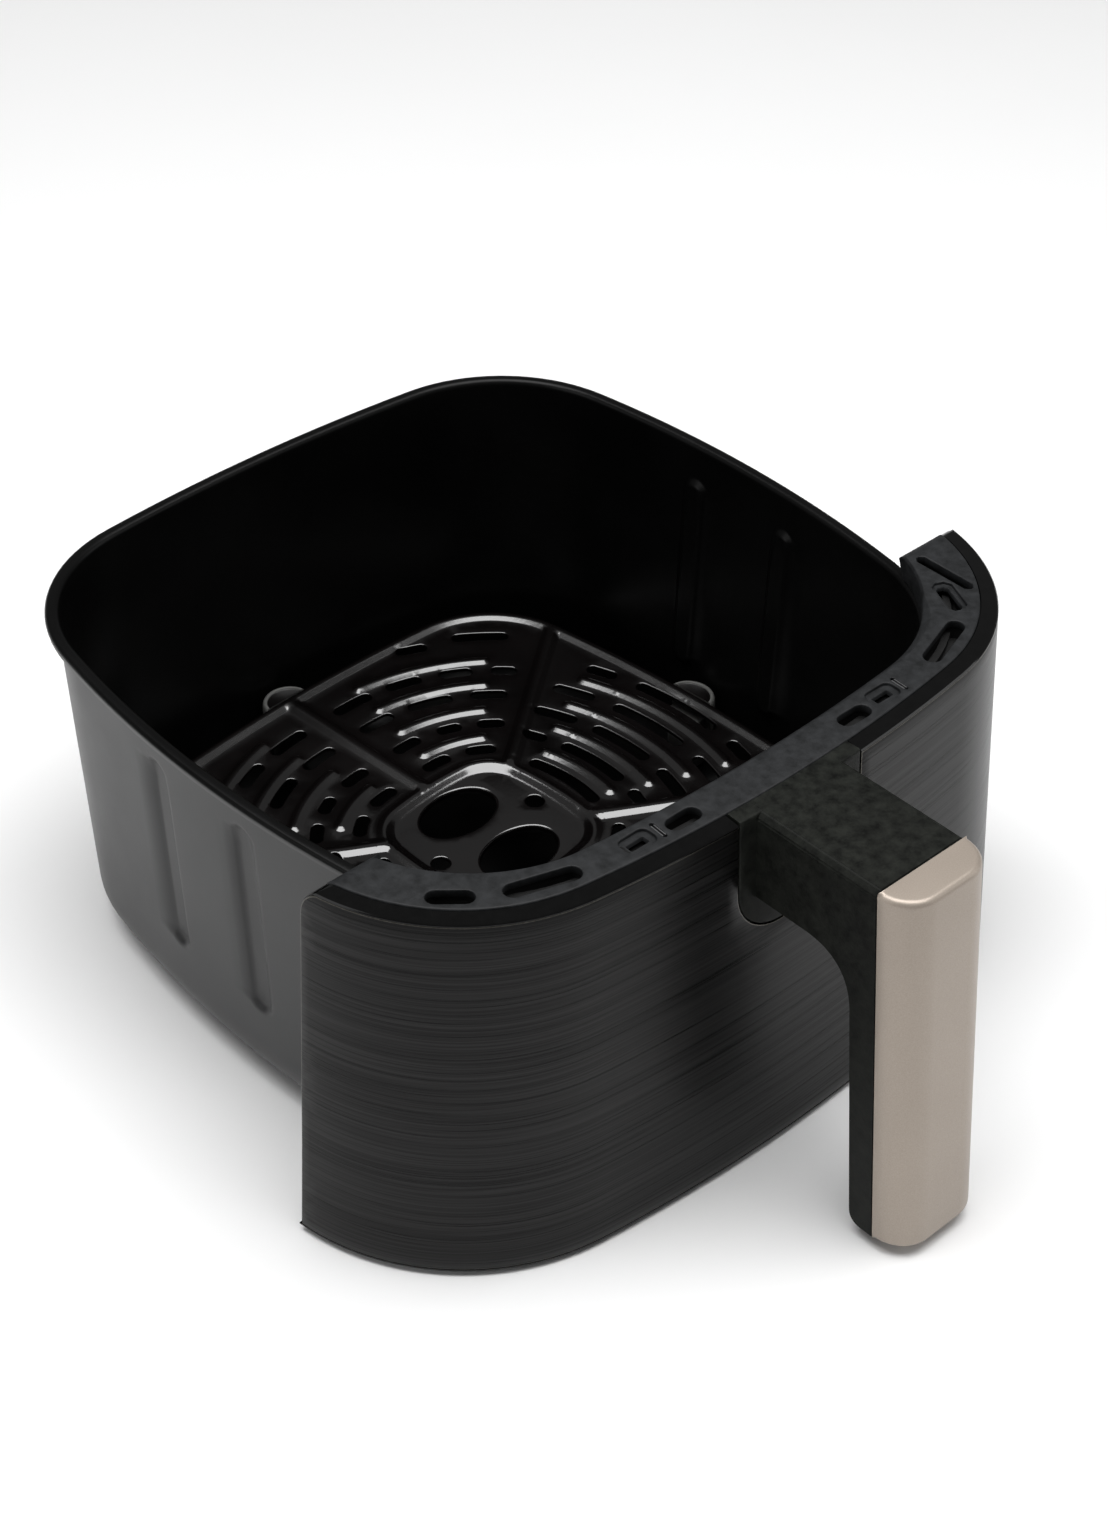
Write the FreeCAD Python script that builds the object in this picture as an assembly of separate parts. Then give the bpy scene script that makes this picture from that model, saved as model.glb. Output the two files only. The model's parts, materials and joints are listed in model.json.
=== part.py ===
"""Air fryer drawer: pan, crisper plate, front panel, top bracket and handle.

Frame: +Z up, -Y is the front (handle side), +X is the right side seen from
behind the handle.  Origin at the centre of the pan's flat floor, underside.
All lengths are millimetres.
"""
import FreeCAD, Part
import math
import os

V = FreeCAD.Vector
X_AXIS, Y_AXIS, Z_AXIS = V(1, 0, 0), V(0, 1, 0), V(0, 0, 1)
FAR = 400.0

# ---- pan ----
PAN_HALF_X = 120.0
PAN_HALF_Y = 118.6
PAN_SIDE_R = 418.0
PAN_END_R = 645.0
PAN_CORNER_R = 56.0
PAN_HEIGHT = 125.0
PAN_WALL = 1.2
PAN_SLOPE = 0.037
PAN_FLOOR_R = 18.5
LIP_OUT = 3.5
LIP_R = 1.5
LIP_DROP = 3.4
HIDDEN = 0.3
GROOVE_Y = 21.0
GROOVE_WIDTH = 9.0
GROOVE_Z = (36.0, 111.0)
GROOVE_DEPTH = 1.8

# ---- front panel outline at the top edge of the skin ----
PANEL_HALF_X = 136.0
PANEL_HALF_Y = 135.7
PANEL_SIDE_R = 859.0
PANEL_END_R = 551.0
PANEL_CORNER_R = 66.8
PANEL_TOP = 133.2
PANEL_BOTTOM = 2.4
PANEL_FLARE = 0.061
PANEL_END_Y = -72.5
PANEL_END_R_TOP = 9.0
SKIN = 0.8
SKIN_GAP = 0.05
SKIN_Z = (3.0, 132.5)
SKIN_LEDGE = 0.1
SHELL_WALL = 2.5
BAND = 5.4
BAND_EDGE = 0.4
LEDGE = 4.2
LEDGE_THICK = 2.0

# ---- top bracket ----
TOP_Z = 134.0
BRACKET_THICK = 2.7
BRACKET_GAP = 0.3
BRACKET_INNER = -4.2
BRACKET_LIP = 2.0
BRACKET_LIP_Z = 125.6
BRACKET_END_Y = -75.0
BRACKET_END_R = 4.0
BRACKET_CHAMFER = 2.8
# slots as (x, y, length, width, angle)
OVAL_SLOT = (35.4, -122.9, 12.4, 5.8, 0.0)
LONG_SLOT = (82.9, -116.2, 23.6, 6.0, 18.2)
LEFT_SLOT = (-105.9, -104.0, 14.0, 5.6, -41.0)
RIGHT_SLOT = (102.4, -101.2, 13.0, 3.8, 90.0)
RIGHT_STEP = (102.4, -101.4, 14.6, 9.0, 90.0)
STEP_DEPTH = 1.2
EDGE_SLOT = (110.9, -92.5, 23.0, 2.8, 90.0)
# windows as (x, y, length, width), clips as (y, width, thickness)
WINDOW = (51.4, -121.9, 11.0, 6.4)
CLIP = (-120.8, 3.8, 0.8)
CLIP_FOOT = 9.4
CLIP_SETBACK = 0.4

# ---- handle ----
HANDLE_WIDTH = 37.0
FLANGE_WIDTH = 50.0
FLANGE_BOTTOM = 90.5
FLANGE_CORNER_R = 17.0
FLANGE_DEPTH = 4.3
FLANGE_GAP = 0.4
FLANGE_FRONT_Y = -160.0
FLANGE_BACK_Y = -128.6
FLANGE_TAIL = 2.4
ARM_UNDER = 103.5
JOINT_Y = -181.0
LEAN = 0.093
GRIP_BOTTOM = 4.2
GRIP_REAR_TOP = (-175.2, 86.0)
GRIP_REAR_BOTTOM = (-182.9, 10.0)
ARM_CURVE_START_Y = -156.5
COVER_DEPTH = 12.2
COVER_CORNER_R = 11.5
COVER_WALL = 2.4
COVER_EDGE = 1.8
ARM_CHAMFER = 1.9
ROOT_Y = -131.8
ROOT_STEP = (-134.0, 4.0)
ARM_BEND = 0.31
GRIP_HEEL_R = 5.0
STRAP = (14.0, 2.5)
STRAP_Z = (24.0, 122.0)
STRAP_CLEAR = 0.15

# ---- steel bracket between pan and handle ----
STEEL = 2.0
HANGER_HALF_X = 34.0
HANGER_Z = (84.0, 118.0)
CHANNEL_HALF_X = 18.0
CHANNEL_Z = (92.0, 118.0)
HANGER_Y = -116.2
STUD_R = 2.5
STUD_ROOT_Y = -110.0
STUDS = [(x, z) for x in (-27.0, 27.0) for z in (90.0, 112.0)]
NUT = (4.6, 2.4)
NUT_CLEAR = 0.1
HANDLE_SCREWS = [(-8.0, 112.0), (8.0, 112.0)]
HANDLE_SCREW = (2.0, 22.0)
HANDLE_SCREW_HEAD = (4.0, 3.0)
STRAP_SCREW_Z = (45.0, 100.0)
STRAP_SCREW_LENGTH = 8.5

# ---- inner cover and heat shield ----
COVER_CLEAR = 3.0
CHANNEL_CLEAR = 1.0
SHIELD_CLEAR = 2.0
INNER_WALL = 2.2
INNER_Z = (6.9, 129.4)
INNER_BOTTOM_OUT = 4.1
SHIELD_GAP = 0.3
SHIELD_THICK = 0.6
SHIELD_Z = (14.0, 116.0)
SHIELD_END_Y = -84.0
BOSS_R = 4.0
BOSS_OFFSET = 0.8
BOSS_TOP = 34.0
BOSS_ANGLES = (-158.0, -128.0, -104.0, -76.0, -52.0, -22.0)

# ---- small screws ----
SCREW_R = 1.5
SCREW_HOLE = 1.55
COVER_SCREW_LENGTH = 20.0
SCREW_HEAD = (3.0, 1.8)
BRACKET_SCREW_ANGLES = (-152.0, -126.0, -56.0, -28.0)
SCREW_DEPTH = 1.7

# ---- crisper plate ----
PLATE_TURN = 4.0
PLATE_HALF_X = 103.0
PLATE_HALF_Y = 101.3
PLATE_SIDE_R = 560.0
PLATE_END_R = 600.0
PLATE_CORNER_R = 39.0
PLATE_Z = 32.1
PLATE_THICK = 1.5
BEAD_WIDE = 6.0
BEAD_HIGH = 2.4
SKIRT_Z = 26.0
HUB_HALF = 30.0
HUB_CORNER_R = 15.0
HUB_SIDE_R = 130.0
HUB_DEPTH = 3.0
HUB_FLANK = 4.5
FINGER_HOLE = (14.4, 15.2, 10.4)
SMALL_HOLE = (22.5, 3.2)
SLOT_W = 4.4
RIDGE_W = 5.4
RIDGE_H = 1.6
RIB_W = 8.0
RIB_H = 1.8
RIB_ANGLE = 33.0
RIB_REACH = 118.0
RAISED_ROOT = 0.4
SLOT_CUT = 60.0
# rows of a corner sector: arc radius, then start and end angles of its slots
CORNER_SLOT_CENTRE = (10.0, 6.3)
CORNER_SLOTS = [
    (32.1, [(45, 64), (75, 95)]),
    (46.4, [(41, 53), (60, 71), (80, 94)]),
    (63.1, [(41, 53), (59, 74), (80, 93)]),
    (77.2, [(39, 46), (51, 60), (65, 75), (80, 92)]),
    (95.0, [(60, 67)]),
    (98.0, [(42, 54)]),
]
CORNER_RIDGE_CENTRE = (8.7, 0.5)
CORNER_RIDGES = [(44.2, 52, 88), (59.5, 50, 85), (74.2, 48.5, 83.5), (88.3, 48, 82.5)]
# rows of a side sector, arcs about a point beyond the plate's centre
SIDE_CENTRE = (-15.0, 0.0)
SIDE_SLOTS = [
    (53.2, [(-17, 17)]),
    (66.8, [(-25.0, -17.5), (-12, 12), (17.5, 25.0)]),
    (81.0, [(-25.5, -14), (-9, 9), (14, 25.5)]),
    (95.5, [(-24, -14.5), (-9.5, 9.5), (14.5, 24)]),
    (110.7, [(-20, -14), (-9.5, 9.5), (14, 20)]),
]
SIDE_RIDGES = [(60.2, -17, 17), (74.0, -19, 19), (88.0, -20, 20), (103.0, -20.5, 20.5)]

# ---- silicone bumpers ----
BUMPER_R = 9.2
BUMPER_OUT = 7.9
BUMPER_IN = 5.0
BUMPER_Z = (5.0, 33.2)
BUMPER_GAP = 0.05


def rad(degrees):
    return math.radians(degrees)


def oval(half_x, half_y, side_r, end_r, corner_r):
    """Twelve tangent arcs (cx, cy, radius, start, end), counterclockwise in radians."""
    side = (half_x - side_r, 0.0)
    end = (0.0, half_y - end_r)
    gap = math.hypot(end[0] - side[0], end[1] - side[1])
    r_side, r_end = side_r - corner_r, end_r - corner_r
    along = (r_side ** 2 - r_end ** 2 + gap ** 2) / (2 * gap)
    across = math.sqrt(r_side ** 2 - along ** 2)
    ux, uy = (end[0] - side[0]) / gap, (end[1] - side[1]) / gap
    corner = (side[0] + ux * along + uy * across, side[1] + uy * along - ux * across)
    if corner[0] < 0:
        corner = (side[0] + ux * along - uy * across, side[1] + uy * along + ux * across)
    low = math.atan2(corner[1] - side[1], corner[0] - side[0])
    high = math.atan2(corner[1] - end[1], corner[0] - end[0])
    first = [(side[0], side[1], side_r, 0.0, low), (corner[0], corner[1], corner_r, low, high),
             (end[0], end[1], end_r, high, math.pi / 2)]
    arcs = list(first)
    arcs += [(-x, y, r, math.pi - b, math.pi - a) for x, y, r, a, b in reversed(first)]
    arcs += [(-x, -y, r, a - math.pi, b - math.pi) for x, y, r, a, b in first]
    arcs += [(x, -y, r, -b, -a) for x, y, r, a, b in reversed(first)]
    return arcs


def front_half(arcs):
    """The arcs of an oval with y below zero."""
    return arcs[6:]


def arc_edge(cx, cy, radius, start, end, z):
    angles = (start, (start + end) / 2, end)
    points = [V(cx + radius * math.cos(a), cy + radius * math.sin(a), z) for a in angles]
    return Part.Arc(*points).toShape()


def oval_face(arcs, offset, z):
    edges = [arc_edge(x, y, r + offset, a, b, z) for x, y, r, a, b in arcs]
    return Part.Face(Part.Wire(edges))


def prism(arcs, offset, z0, z1):
    """An upright solid whose plan is the outline moved out by offset."""
    return oval_face(arcs, offset, z0).extrude(V(0, 0, z1 - z0))


def profile_face(points):
    """A face in the XZ plane; a point of four numbers is an arc's middle and its end."""
    edges = []
    here = points[0]
    for point in points[1:] + [points[0][-2:]]:
        start, end = V(here[-2], 0, here[-1]), V(point[-2], 0, point[-1])
        if len(point) == 4:
            edges.append(Part.Arc(start, V(point[0], 0, point[1]), end).toShape())
        elif start.distanceToPoint(end) > 1e-6:
            edges.append(Part.LineSegment(start, end).toShape())
        here = point
    return Part.Face(Part.Wire(edges))


def sweep(points, arcs):
    """Carry a profile of (offset, z) points along an outline of tangent arcs."""
    face = profile_face(points)
    pieces = []
    for cx, cy, radius, start, end in arcs:
        section = face.copy()
        section.translate(V(radius, 0, 0))
        section.rotate(V(0, 0, 0), Z_AXIS, math.degrees(start))
        section.translate(V(cx, cy, 0))
        pieces.append(section.revolve(V(cx, cy, 0), Z_AXIS, math.degrees(end - start)))
    return fuse(pieces)


def fuse(shapes):
    if len(shapes) == 1:
        return shapes[0]
    return shapes[0].multiFuse(shapes[1:]).removeSplitter()


def box(x0, x1, y0, y1, z0, z1):
    return Part.makeBox(x1 - x0, y1 - y0, z1 - z0, V(x0, y0, z0))


def rod(radius, start, direction, length):
    return Part.makeCylinder(radius, length, start, direction)


def capsule(length, width, height):
    """A round-ended bar along X, centred, standing on z = 0."""
    half = (length - width) / 2
    core = box(-half, half, -width / 2, width / 2, 0, height)
    return fuse([core, rod(width / 2, V(-half, 0, 0), Z_AXIS, height),
                 rod(width / 2, V(half, 0, 0), Z_AXIS, height)])


def mirrored(shape):
    return shape.mirror(V(0, 0, 0), X_AXIS)


def group(shapes):
    return Part.makeCompound(shapes)


def panel_offset(z):
    """How far the panel's outer face stands out from its top outline at height z."""
    return PANEL_FLARE * (PANEL_TOP - z)


def side_outline(end_y, corner_r, top):
    """A block across the whole width that ends at end_y with a rounded top corner."""
    centre_y, centre_z = end_y - corner_r, top - corner_r
    k = corner_r * math.sqrt(0.5)
    face = profile_face([(-FAR, 0), (end_y, 0), (end_y, centre_z),
                         (centre_y + k, centre_z + k, centre_y, top), (-FAR, top)])
    face.rotate(V(0, 0, 0), Z_AXIS, 90)
    face.translate(V(-FAR, 0, 0))
    return face.extrude(V(2 * FAR, 0, 0))


RIM = oval(PAN_HALF_X, PAN_HALF_Y, PAN_SIDE_R, PAN_END_R, PAN_CORNER_R)
PANEL = oval(PANEL_HALF_X, PANEL_HALF_Y, PANEL_SIDE_R, PANEL_END_R, PANEL_CORNER_R)
PLATE = oval(PLATE_HALF_X, PLATE_HALF_Y, PLATE_SIDE_R, PLATE_END_R, PLATE_CORNER_R)
HUB = oval(HUB_HALF, HUB_HALF, HUB_SIDE_R, HUB_SIDE_R, HUB_CORNER_R)
PAN_TILT = math.atan(PAN_SLOPE)


def wall_offset(z):
    """Offset of the pan's outer wall from the lip's outline."""
    return -LIP_OUT - PAN_SLOPE * (PAN_HEIGHT - z)


def pan_section():
    tilt = PAN_TILT
    r_out, r_in = PAN_FLOOR_R, PAN_FLOOR_R - PAN_WALL
    foot_z = r_out * (1 - math.sin(tilt))
    centre = wall_offset(foot_z) - r_out * math.cos(tilt)
    mid = -(math.pi / 2 + tilt) / 2

    def on_arc(radius, angle):
        return centre + radius * math.cos(angle), r_out + radius * math.sin(angle)

    wall_in = wall_offset(PAN_HEIGHT) - PAN_WALL
    k = LIP_R * math.sqrt(0.5)
    under = PAN_HEIGHT - PAN_WALL
    points = [(centre, 0), on_arc(r_out, mid) + on_arc(r_out, -tilt),
              (wall_offset(under), under), (-PAN_WALL, under),
              (-PAN_WALL, PAN_HEIGHT - LIP_DROP), (0, PAN_HEIGHT - LIP_DROP),
              (0, PAN_HEIGHT - LIP_R),
              (-LIP_R + k, PAN_HEIGHT - LIP_R + k, -LIP_R, PAN_HEIGHT),
              (wall_in, PAN_HEIGHT), on_arc(r_in, -tilt),
              on_arc(r_in, mid) + (centre, PAN_WALL)]
    return points, centre


def wall_groove(side, y):
    """The pressed groove: the pad it makes inside and the trough it leaves outside."""
    z0, z1 = GROOVE_Z
    length = z1 - z0
    shapes = []
    for width, depth, start in ((GROOVE_WIDTH + 2 * PAN_WALL, GROOVE_DEPTH + PAN_WALL, HIDDEN),
                                (GROOVE_WIDTH, GROOVE_DEPTH, -5.0)):
        bar = capsule(length + width - GROOVE_WIDTH, width, depth - start)
        bar.translate(V(0, 0, start))
        bar.rotate(V(0, 0, 0), Y_AXIS, -90)
        bar.rotate(V(0, 0, 0), Y_AXIS, math.degrees(PAN_TILT))
        bar.rotate(V(0, 0, 0), Z_AXIS, math.degrees(y / PAN_SIDE_R))
        mid_z = (z0 + z1) / 2
        reach = PAN_HALF_X + wall_offset(mid_z) - y * y / (2 * PAN_SIDE_R)
        bar.translate(V(reach, y, mid_z))
        shapes.append(bar if side > 0 else mirrored(bar))
    return shapes


def make_pan():
    points, floor_offset = pan_section()
    pan = fuse([sweep(points, RIM), prism(RIM, floor_offset, 0, PAN_WALL)])
    for side in (-1, 1):
        for y in (-GROOVE_Y, GROOVE_Y):
            pad, trough = wall_groove(side, y)
            pan = pan.fuse(pad).cut(trough)
    return pan


def pan_envelope():
    """The pan as a solid block, to trim pieces that sit on its outside."""
    wires = [oval_face(RIM, wall_offset(z), z).OuterWire for z in (PAN_FLOOR_R, PAN_HEIGHT)]
    return Part.makeLoft(wires, True, True)


def panel_wall(outer, inner, z0, z1):
    """A flared wall that follows the front panel between two offsets."""
    points = [(panel_offset(z0) + inner, z0), (panel_offset(z0) + outer, z0),
              (panel_offset(z1) + outer, z1), (panel_offset(z1) + inner, z1)]
    return sweep(points, front_half(PANEL))


def flange_block(gap):
    """The U-shaped outline of the handle's flange, run through the panel."""
    half, low, r = FLANGE_WIDTH / 2 + gap, FLANGE_BOTTOM - gap, FLANGE_CORNER_R + gap
    k = r * (1 - math.sqrt(0.5))
    face = profile_face([(-half, TOP_Z + 1), (-half, low + r), (-half + k, low + k, -half + r, low),
                         (half - r, low), (half - k, low + k, half, low + r), (half, TOP_Z + 1)])
    face.translate(V(0, FLANGE_FRONT_Y, 0))
    return face.extrude(V(0, FLANGE_BACK_Y - FLANGE_FRONT_Y, 0))


def make_front_skin():
    z0, z1 = SKIN_Z
    skin = panel_wall(0, -SKIN, z0, z1)
    skin = skin.common(side_outline(PANEL_END_Y, PANEL_END_R_TOP, PANEL_TOP))
    return skin.cut(flange_block(FLANGE_GAP))


def make_front_shell():
    z0, z1 = SKIN_Z
    back = SKIN + SKIN_GAP
    inner = back + SHELL_WALL
    seat = TOP_Z - BRACKET_THICK
    under = seat - LEDGE_THICK
    foot, head = z0 - SKIN_LEDGE, z1 + SKIN_LEDGE
    points = [(panel_offset(PANEL_BOTTOM) - inner, PANEL_BOTTOM),
              (panel_offset(PANEL_BOTTOM), PANEL_BOTTOM),
              (panel_offset(foot), foot), (panel_offset(z0) - back, foot),
              (panel_offset(z1) - back, head), (panel_offset(z1), head),
              (0, PANEL_TOP - BAND_EDGE), (-BAND_EDGE, PANEL_TOP), (-BAND, TOP_Z - BAND_EDGE),
              (-BAND, seat), (-BAND - LEDGE, seat), (-BAND - LEDGE, under),
              (panel_offset(under) - inner, under)]
    wall = sweep(points, front_half(PANEL))
    wires = [oval_face(PANEL, panel_offset(z) - back, z).OuterWire for z in (z0, under)]
    inside = Part.makeLoft(wires, True, True)
    ends = box(-FAR, FAR, PANEL_END_Y - SHELL_WALL, PANEL_END_Y, z0, under).common(inside)
    ends = ends.cut(prism(RIM, COVER_CLEAR, 0, TOP_Z))
    bosses = [post.cut(hole) for post, hole in shell_bosses()]
    shell = fuse([wall, ends] + [boss.common(inside) for boss in bosses])
    shell = shell.common(side_outline(PANEL_END_Y, PANEL_END_R_TOP, TOP_Z))
    holes = [rod(SCREW_HOLE, V(x, y, under - 1), Z_AXIS, LEDGE_THICK + 2)
             for x, y in bracket_screw_places()]
    return shell.cut(group(holes)).cut(flange_block(FLANGE_GAP))


def on_outline(arcs, offset, degrees):
    """The point of an oval, moved by offset, whose outward normal has this angle."""
    angle = rad(degrees)
    for cx, cy, radius, start, end in arcs:
        if start - 1e-9 <= angle <= end + 1e-9:
            reach = radius + offset
            return cx + reach * math.cos(angle), cy + reach * math.sin(angle)
    raise ValueError("no such normal")


def bracket_screw_places():
    return [on_outline(PANEL, -BAND - LEDGE / 2, angle) for angle in BRACKET_SCREW_ANGLES]


def shell_bosses():
    posts = []
    for angle in BOSS_ANGLES:
        x, y = on_outline(PANEL, BOSS_OFFSET, angle)
        posts.append((rod(BOSS_R, V(x, y, INNER_Z[0]), Z_AXIS, BOSS_TOP - INNER_Z[0]),
                      rod(SCREW_HOLE, V(x, y, 0), Z_AXIS, BOSS_TOP - 2 * SHELL_WALL)))
    return posts


def slot_cutter(place, depth):
    """A round-ended bar that reaches depth below the bracket's top."""
    x, y, length, width, angle = place
    bar = capsule(length, width, 2 * depth)
    bar.rotate(V(0, 0, 0), Z_AXIS, angle)
    bar.translate(V(x, y, TOP_Z - depth))
    return bar


def make_top_bracket():
    seat = TOP_Z - BRACKET_THICK
    through = 2 * BRACKET_THICK
    outer = -BAND - BRACKET_GAP
    plate = prism(PANEL, outer, seat, TOP_Z)
    lip = prism(RIM, BRACKET_INNER + BRACKET_LIP, BRACKET_LIP_Z, TOP_Z)
    bracket = plate.fuse(lip).cut(prism(RIM, BRACKET_INNER, 0, FAR))
    bracket = bracket.common(side_outline(BRACKET_END_Y, BRACKET_END_R, TOP_Z)).removeSplitter()
    corner = [(BRACKET_INNER - 1, TOP_Z - BRACKET_CHAMFER - 1), (BRACKET_INNER - 1, TOP_Z + 1),
              (BRACKET_INNER + BRACKET_CHAMFER + 1, TOP_Z + 1)]
    bracket = bracket.cut(sweep(corner, front_half(RIM)))
    cutters = [slot_cutter(EDGE_SLOT, through), slot_cutter(LEFT_SLOT, through),
               slot_cutter(RIGHT_SLOT, through), slot_cutter(RIGHT_STEP, STEP_DEPTH)]
    for place in (OVAL_SLOT, LONG_SLOT):
        cutter = slot_cutter(place, through)
        cutters += [cutter, mirrored(cutter)]
    x, y, length, width = WINDOW
    for side in (-1, 1):
        cutters.append(box(side * x - length / 2, side * x + length / 2, y - width / 2,
                           y + width / 2, TOP_Z - through, TOP_Z + through))
    cutters += [rod(SCREW_HOLE, V(px, py, seat - 1), Z_AXIS, SCREW_DEPTH + 1.2)
                for px, py in bracket_screw_places()]
    return bracket.cut(group(cutters))


def make_bracket_screws():
    radius, height = SCREW_HEAD
    under = TOP_Z - BRACKET_THICK - LEDGE_THICK
    screws = []
    for x, y in bracket_screw_places():
        head = rod(radius, V(x, y, under - height), Z_AXIS, height)
        screws.append(head.fuse(rod(SCREW_R, V(x, y, under), Z_AXIS, LEDGE_THICK + SCREW_DEPTH)))
    return group(screws)


def make_snap_clip(side):
    """A bent steel spring in a window of the bracket."""
    x, length = WINDOW[0], WINDOW[2]
    y, wide, thick = CLIP
    seat = TOP_Z - BRACKET_THICK
    outer = x + length / 2 - CLIP_SETBACK
    tip, sole = TOP_Z - 1.5 * thick, seat - 2 * thick
    face = profile_face([(outer, tip), (outer - thick, tip),
                         (outer - 4 * thick, sole + thick), (outer - CLIP_FOOT, sole + thick),
                         (outer - CLIP_FOOT, sole), (outer - 3.3 * thick, sole)])
    face.translate(V(0, y - wide / 2, 0))
    clip = face.extrude(V(0, wide, 0))
    return clip if side > 0 else mirrored(clip)


def make_inner_cover():
    z0, z1 = INNER_Z
    wall = prism(RIM, COVER_CLEAR + INNER_WALL, z0, z1)
    floor = prism(PANEL, INNER_BOTTOM_OUT, PANEL_BOTTOM, z0)
    cover = wall.fuse(floor).cut(prism(RIM, COVER_CLEAR, 0, FAR))
    front = box(-FAR, FAR, -FAR, PANEL_END_Y - SHELL_WALL - SKIN_GAP, 0, FAR)
    cover = cover.common(front)
    gap = CHANNEL_CLEAR
    window = box(-CHANNEL_HALF_X - gap, CHANNEL_HALF_X + gap, ROOT_Y, STUD_ROOT_Y,
                 CHANNEL_Z[0] - gap, CHANNEL_Z[1] + gap)
    holes = [rod(SCREW_HOLE + SKIN_GAP, hole.CenterOfMass - V(0, 0, BOSS_TOP), Z_AXIS, 2 * BOSS_TOP)
             for post, hole in shell_bosses()]
    return cover.cut(group([window] + holes)).removeSplitter()


def make_cover_screws():
    radius, height = SCREW_HEAD
    screws = []
    for angle in BOSS_ANGLES:
        x, y = on_outline(PANEL, BOSS_OFFSET, angle)
        head = rod(radius, V(x, y, PANEL_BOTTOM - height), Z_AXIS, height)
        screws.append(head.fuse(rod(SCREW_R, V(x, y, PANEL_BOTTOM), Z_AXIS, COVER_SCREW_LENGTH)))
    return group(screws)


def make_heat_shield():
    z0, z1 = SHIELD_Z
    near = COVER_CLEAR + INNER_WALL + SHIELD_GAP
    shield = prism(RIM, near + SHIELD_THICK, z0, z1).cut(prism(RIM, near, 0, FAR))
    shield = shield.common(box(-FAR, FAR, -FAR, SHIELD_END_Y, 0, FAR))
    gap = SHIELD_CLEAR
    window = box(-CHANNEL_HALF_X - gap, CHANNEL_HALF_X + gap, ROOT_Y, STUD_ROOT_Y,
                 CHANNEL_Z[0] - gap, CHANNEL_Z[1] + gap)
    return shield.cut(window)


def make_pan_hanger():
    z0, z1 = HANGER_Z
    c0, c1 = CHANNEL_Z
    web = box(-HANGER_HALF_X, HANGER_HALF_X, HANGER_Y - STEEL, HANGER_Y, z0, z1)
    outside = box(-CHANNEL_HALF_X, CHANNEL_HALF_X, ROOT_Y, HANGER_Y - STEEL, c0, c1)
    inside = box(STEEL - CHANNEL_HALF_X, CHANNEL_HALF_X - STEEL, ROOT_Y + STEEL,
                 HANGER_Y - STEEL, c0 - 1, c1 + 1)
    hanger = web.fuse(outside.cut(inside)).removeSplitter()
    holes = [rod(STUD_R + NUT_CLEAR, V(x, STUD_ROOT_Y, z), -Y_AXIS, 15) for x, z in STUDS]
    holes += [rod(HANDLE_SCREW[0] + NUT_CLEAR, V(x, ROOT_Y + 5, z), -Y_AXIS, 10) for x, z in HANDLE_SCREWS]
    return hanger.cut(group(holes))


def make_pan_studs(envelope):
    length = STUD_ROOT_Y - (HANGER_Y - STEEL - NUT[1] - NUT_CLEAR)
    return group([rod(STUD_R, V(x, STUD_ROOT_Y, z), -Y_AXIS, length).cut(envelope) for x, z in STUDS])


def hexagon(radius, thick, x, y, z):
    """A nut on a Y axis, its face at y, running towards the front."""
    points = [V(x + radius * math.cos(rad(a)), y, z + radius * math.sin(rad(a)))
              for a in range(0, 361, 60)]
    return Part.Face(Part.makePolygon(points)).extrude(V(0, -thick, 0))


def make_stud_nuts():
    radius, thick = NUT
    y = HANGER_Y - STEEL
    bores = [rod(STUD_R + NUT_CLEAR / 2, V(x, STUD_ROOT_Y, z), -Y_AXIS, 15) for x, z in STUDS]
    return group([hexagon(radius, thick, x, y, z).cut(bore) for (x, z), bore in zip(STUDS, bores)])


def joint_point(z):
    """A point of the joint between handle body and cover at height z."""
    return V(0, JOINT_Y - math.tan(LEAN) * (TOP_Z - z), z)


def handle_section():
    """The handle body seen from the side, as (y, z) points."""
    top, low = joint_point(TOP_Z), joint_point(GRIP_BOTTOM)
    y0, z0 = GRIP_REAR_TOP
    y1, z1 = GRIP_REAR_BOTTOM
    step_y, step_z = ROOT_STEP[0], TOP_Z - ROOT_STEP[1]
    radius = GRIP_HEEL_R
    k = radius * (1 - math.sqrt(0.5))
    mid = (y0 + (ARM_CURVE_START_Y - y0) * ARM_BEND, ARM_UNDER - (ARM_UNDER - z0) * ARM_BEND)
    return [(ROOT_Y, step_z), (step_y, step_z), (step_y, TOP_Z), (top.y, top.z), (low.y, low.z),
            (y1 - radius, GRIP_BOTTOM),
            (y1 - k, GRIP_BOTTOM + k, y1, GRIP_BOTTOM + radius), (y0, z0),
            mid + (ARM_CURVE_START_Y, ARM_UNDER), (ROOT_Y, ARM_UNDER)]


def make_handle_flange():
    under = TOP_Z - BRACKET_THICK
    tail = under - FLANGE_TAIL
    points = [(panel_offset(FLANGE_BOTTOM) - FLANGE_DEPTH, FLANGE_BOTTOM - 1),
              (panel_offset(FLANGE_BOTTOM), FLANGE_BOTTOM - 1), (0, PANEL_TOP), (0, TOP_Z - BAND_EDGE),
              (-BAND_EDGE, TOP_Z), (-BAND, TOP_Z), (-BAND, tail), (-FLANGE_DEPTH, tail)]
    band = sweep(points, front_half(PANEL))
    return band.common(flange_block(0))


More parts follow.
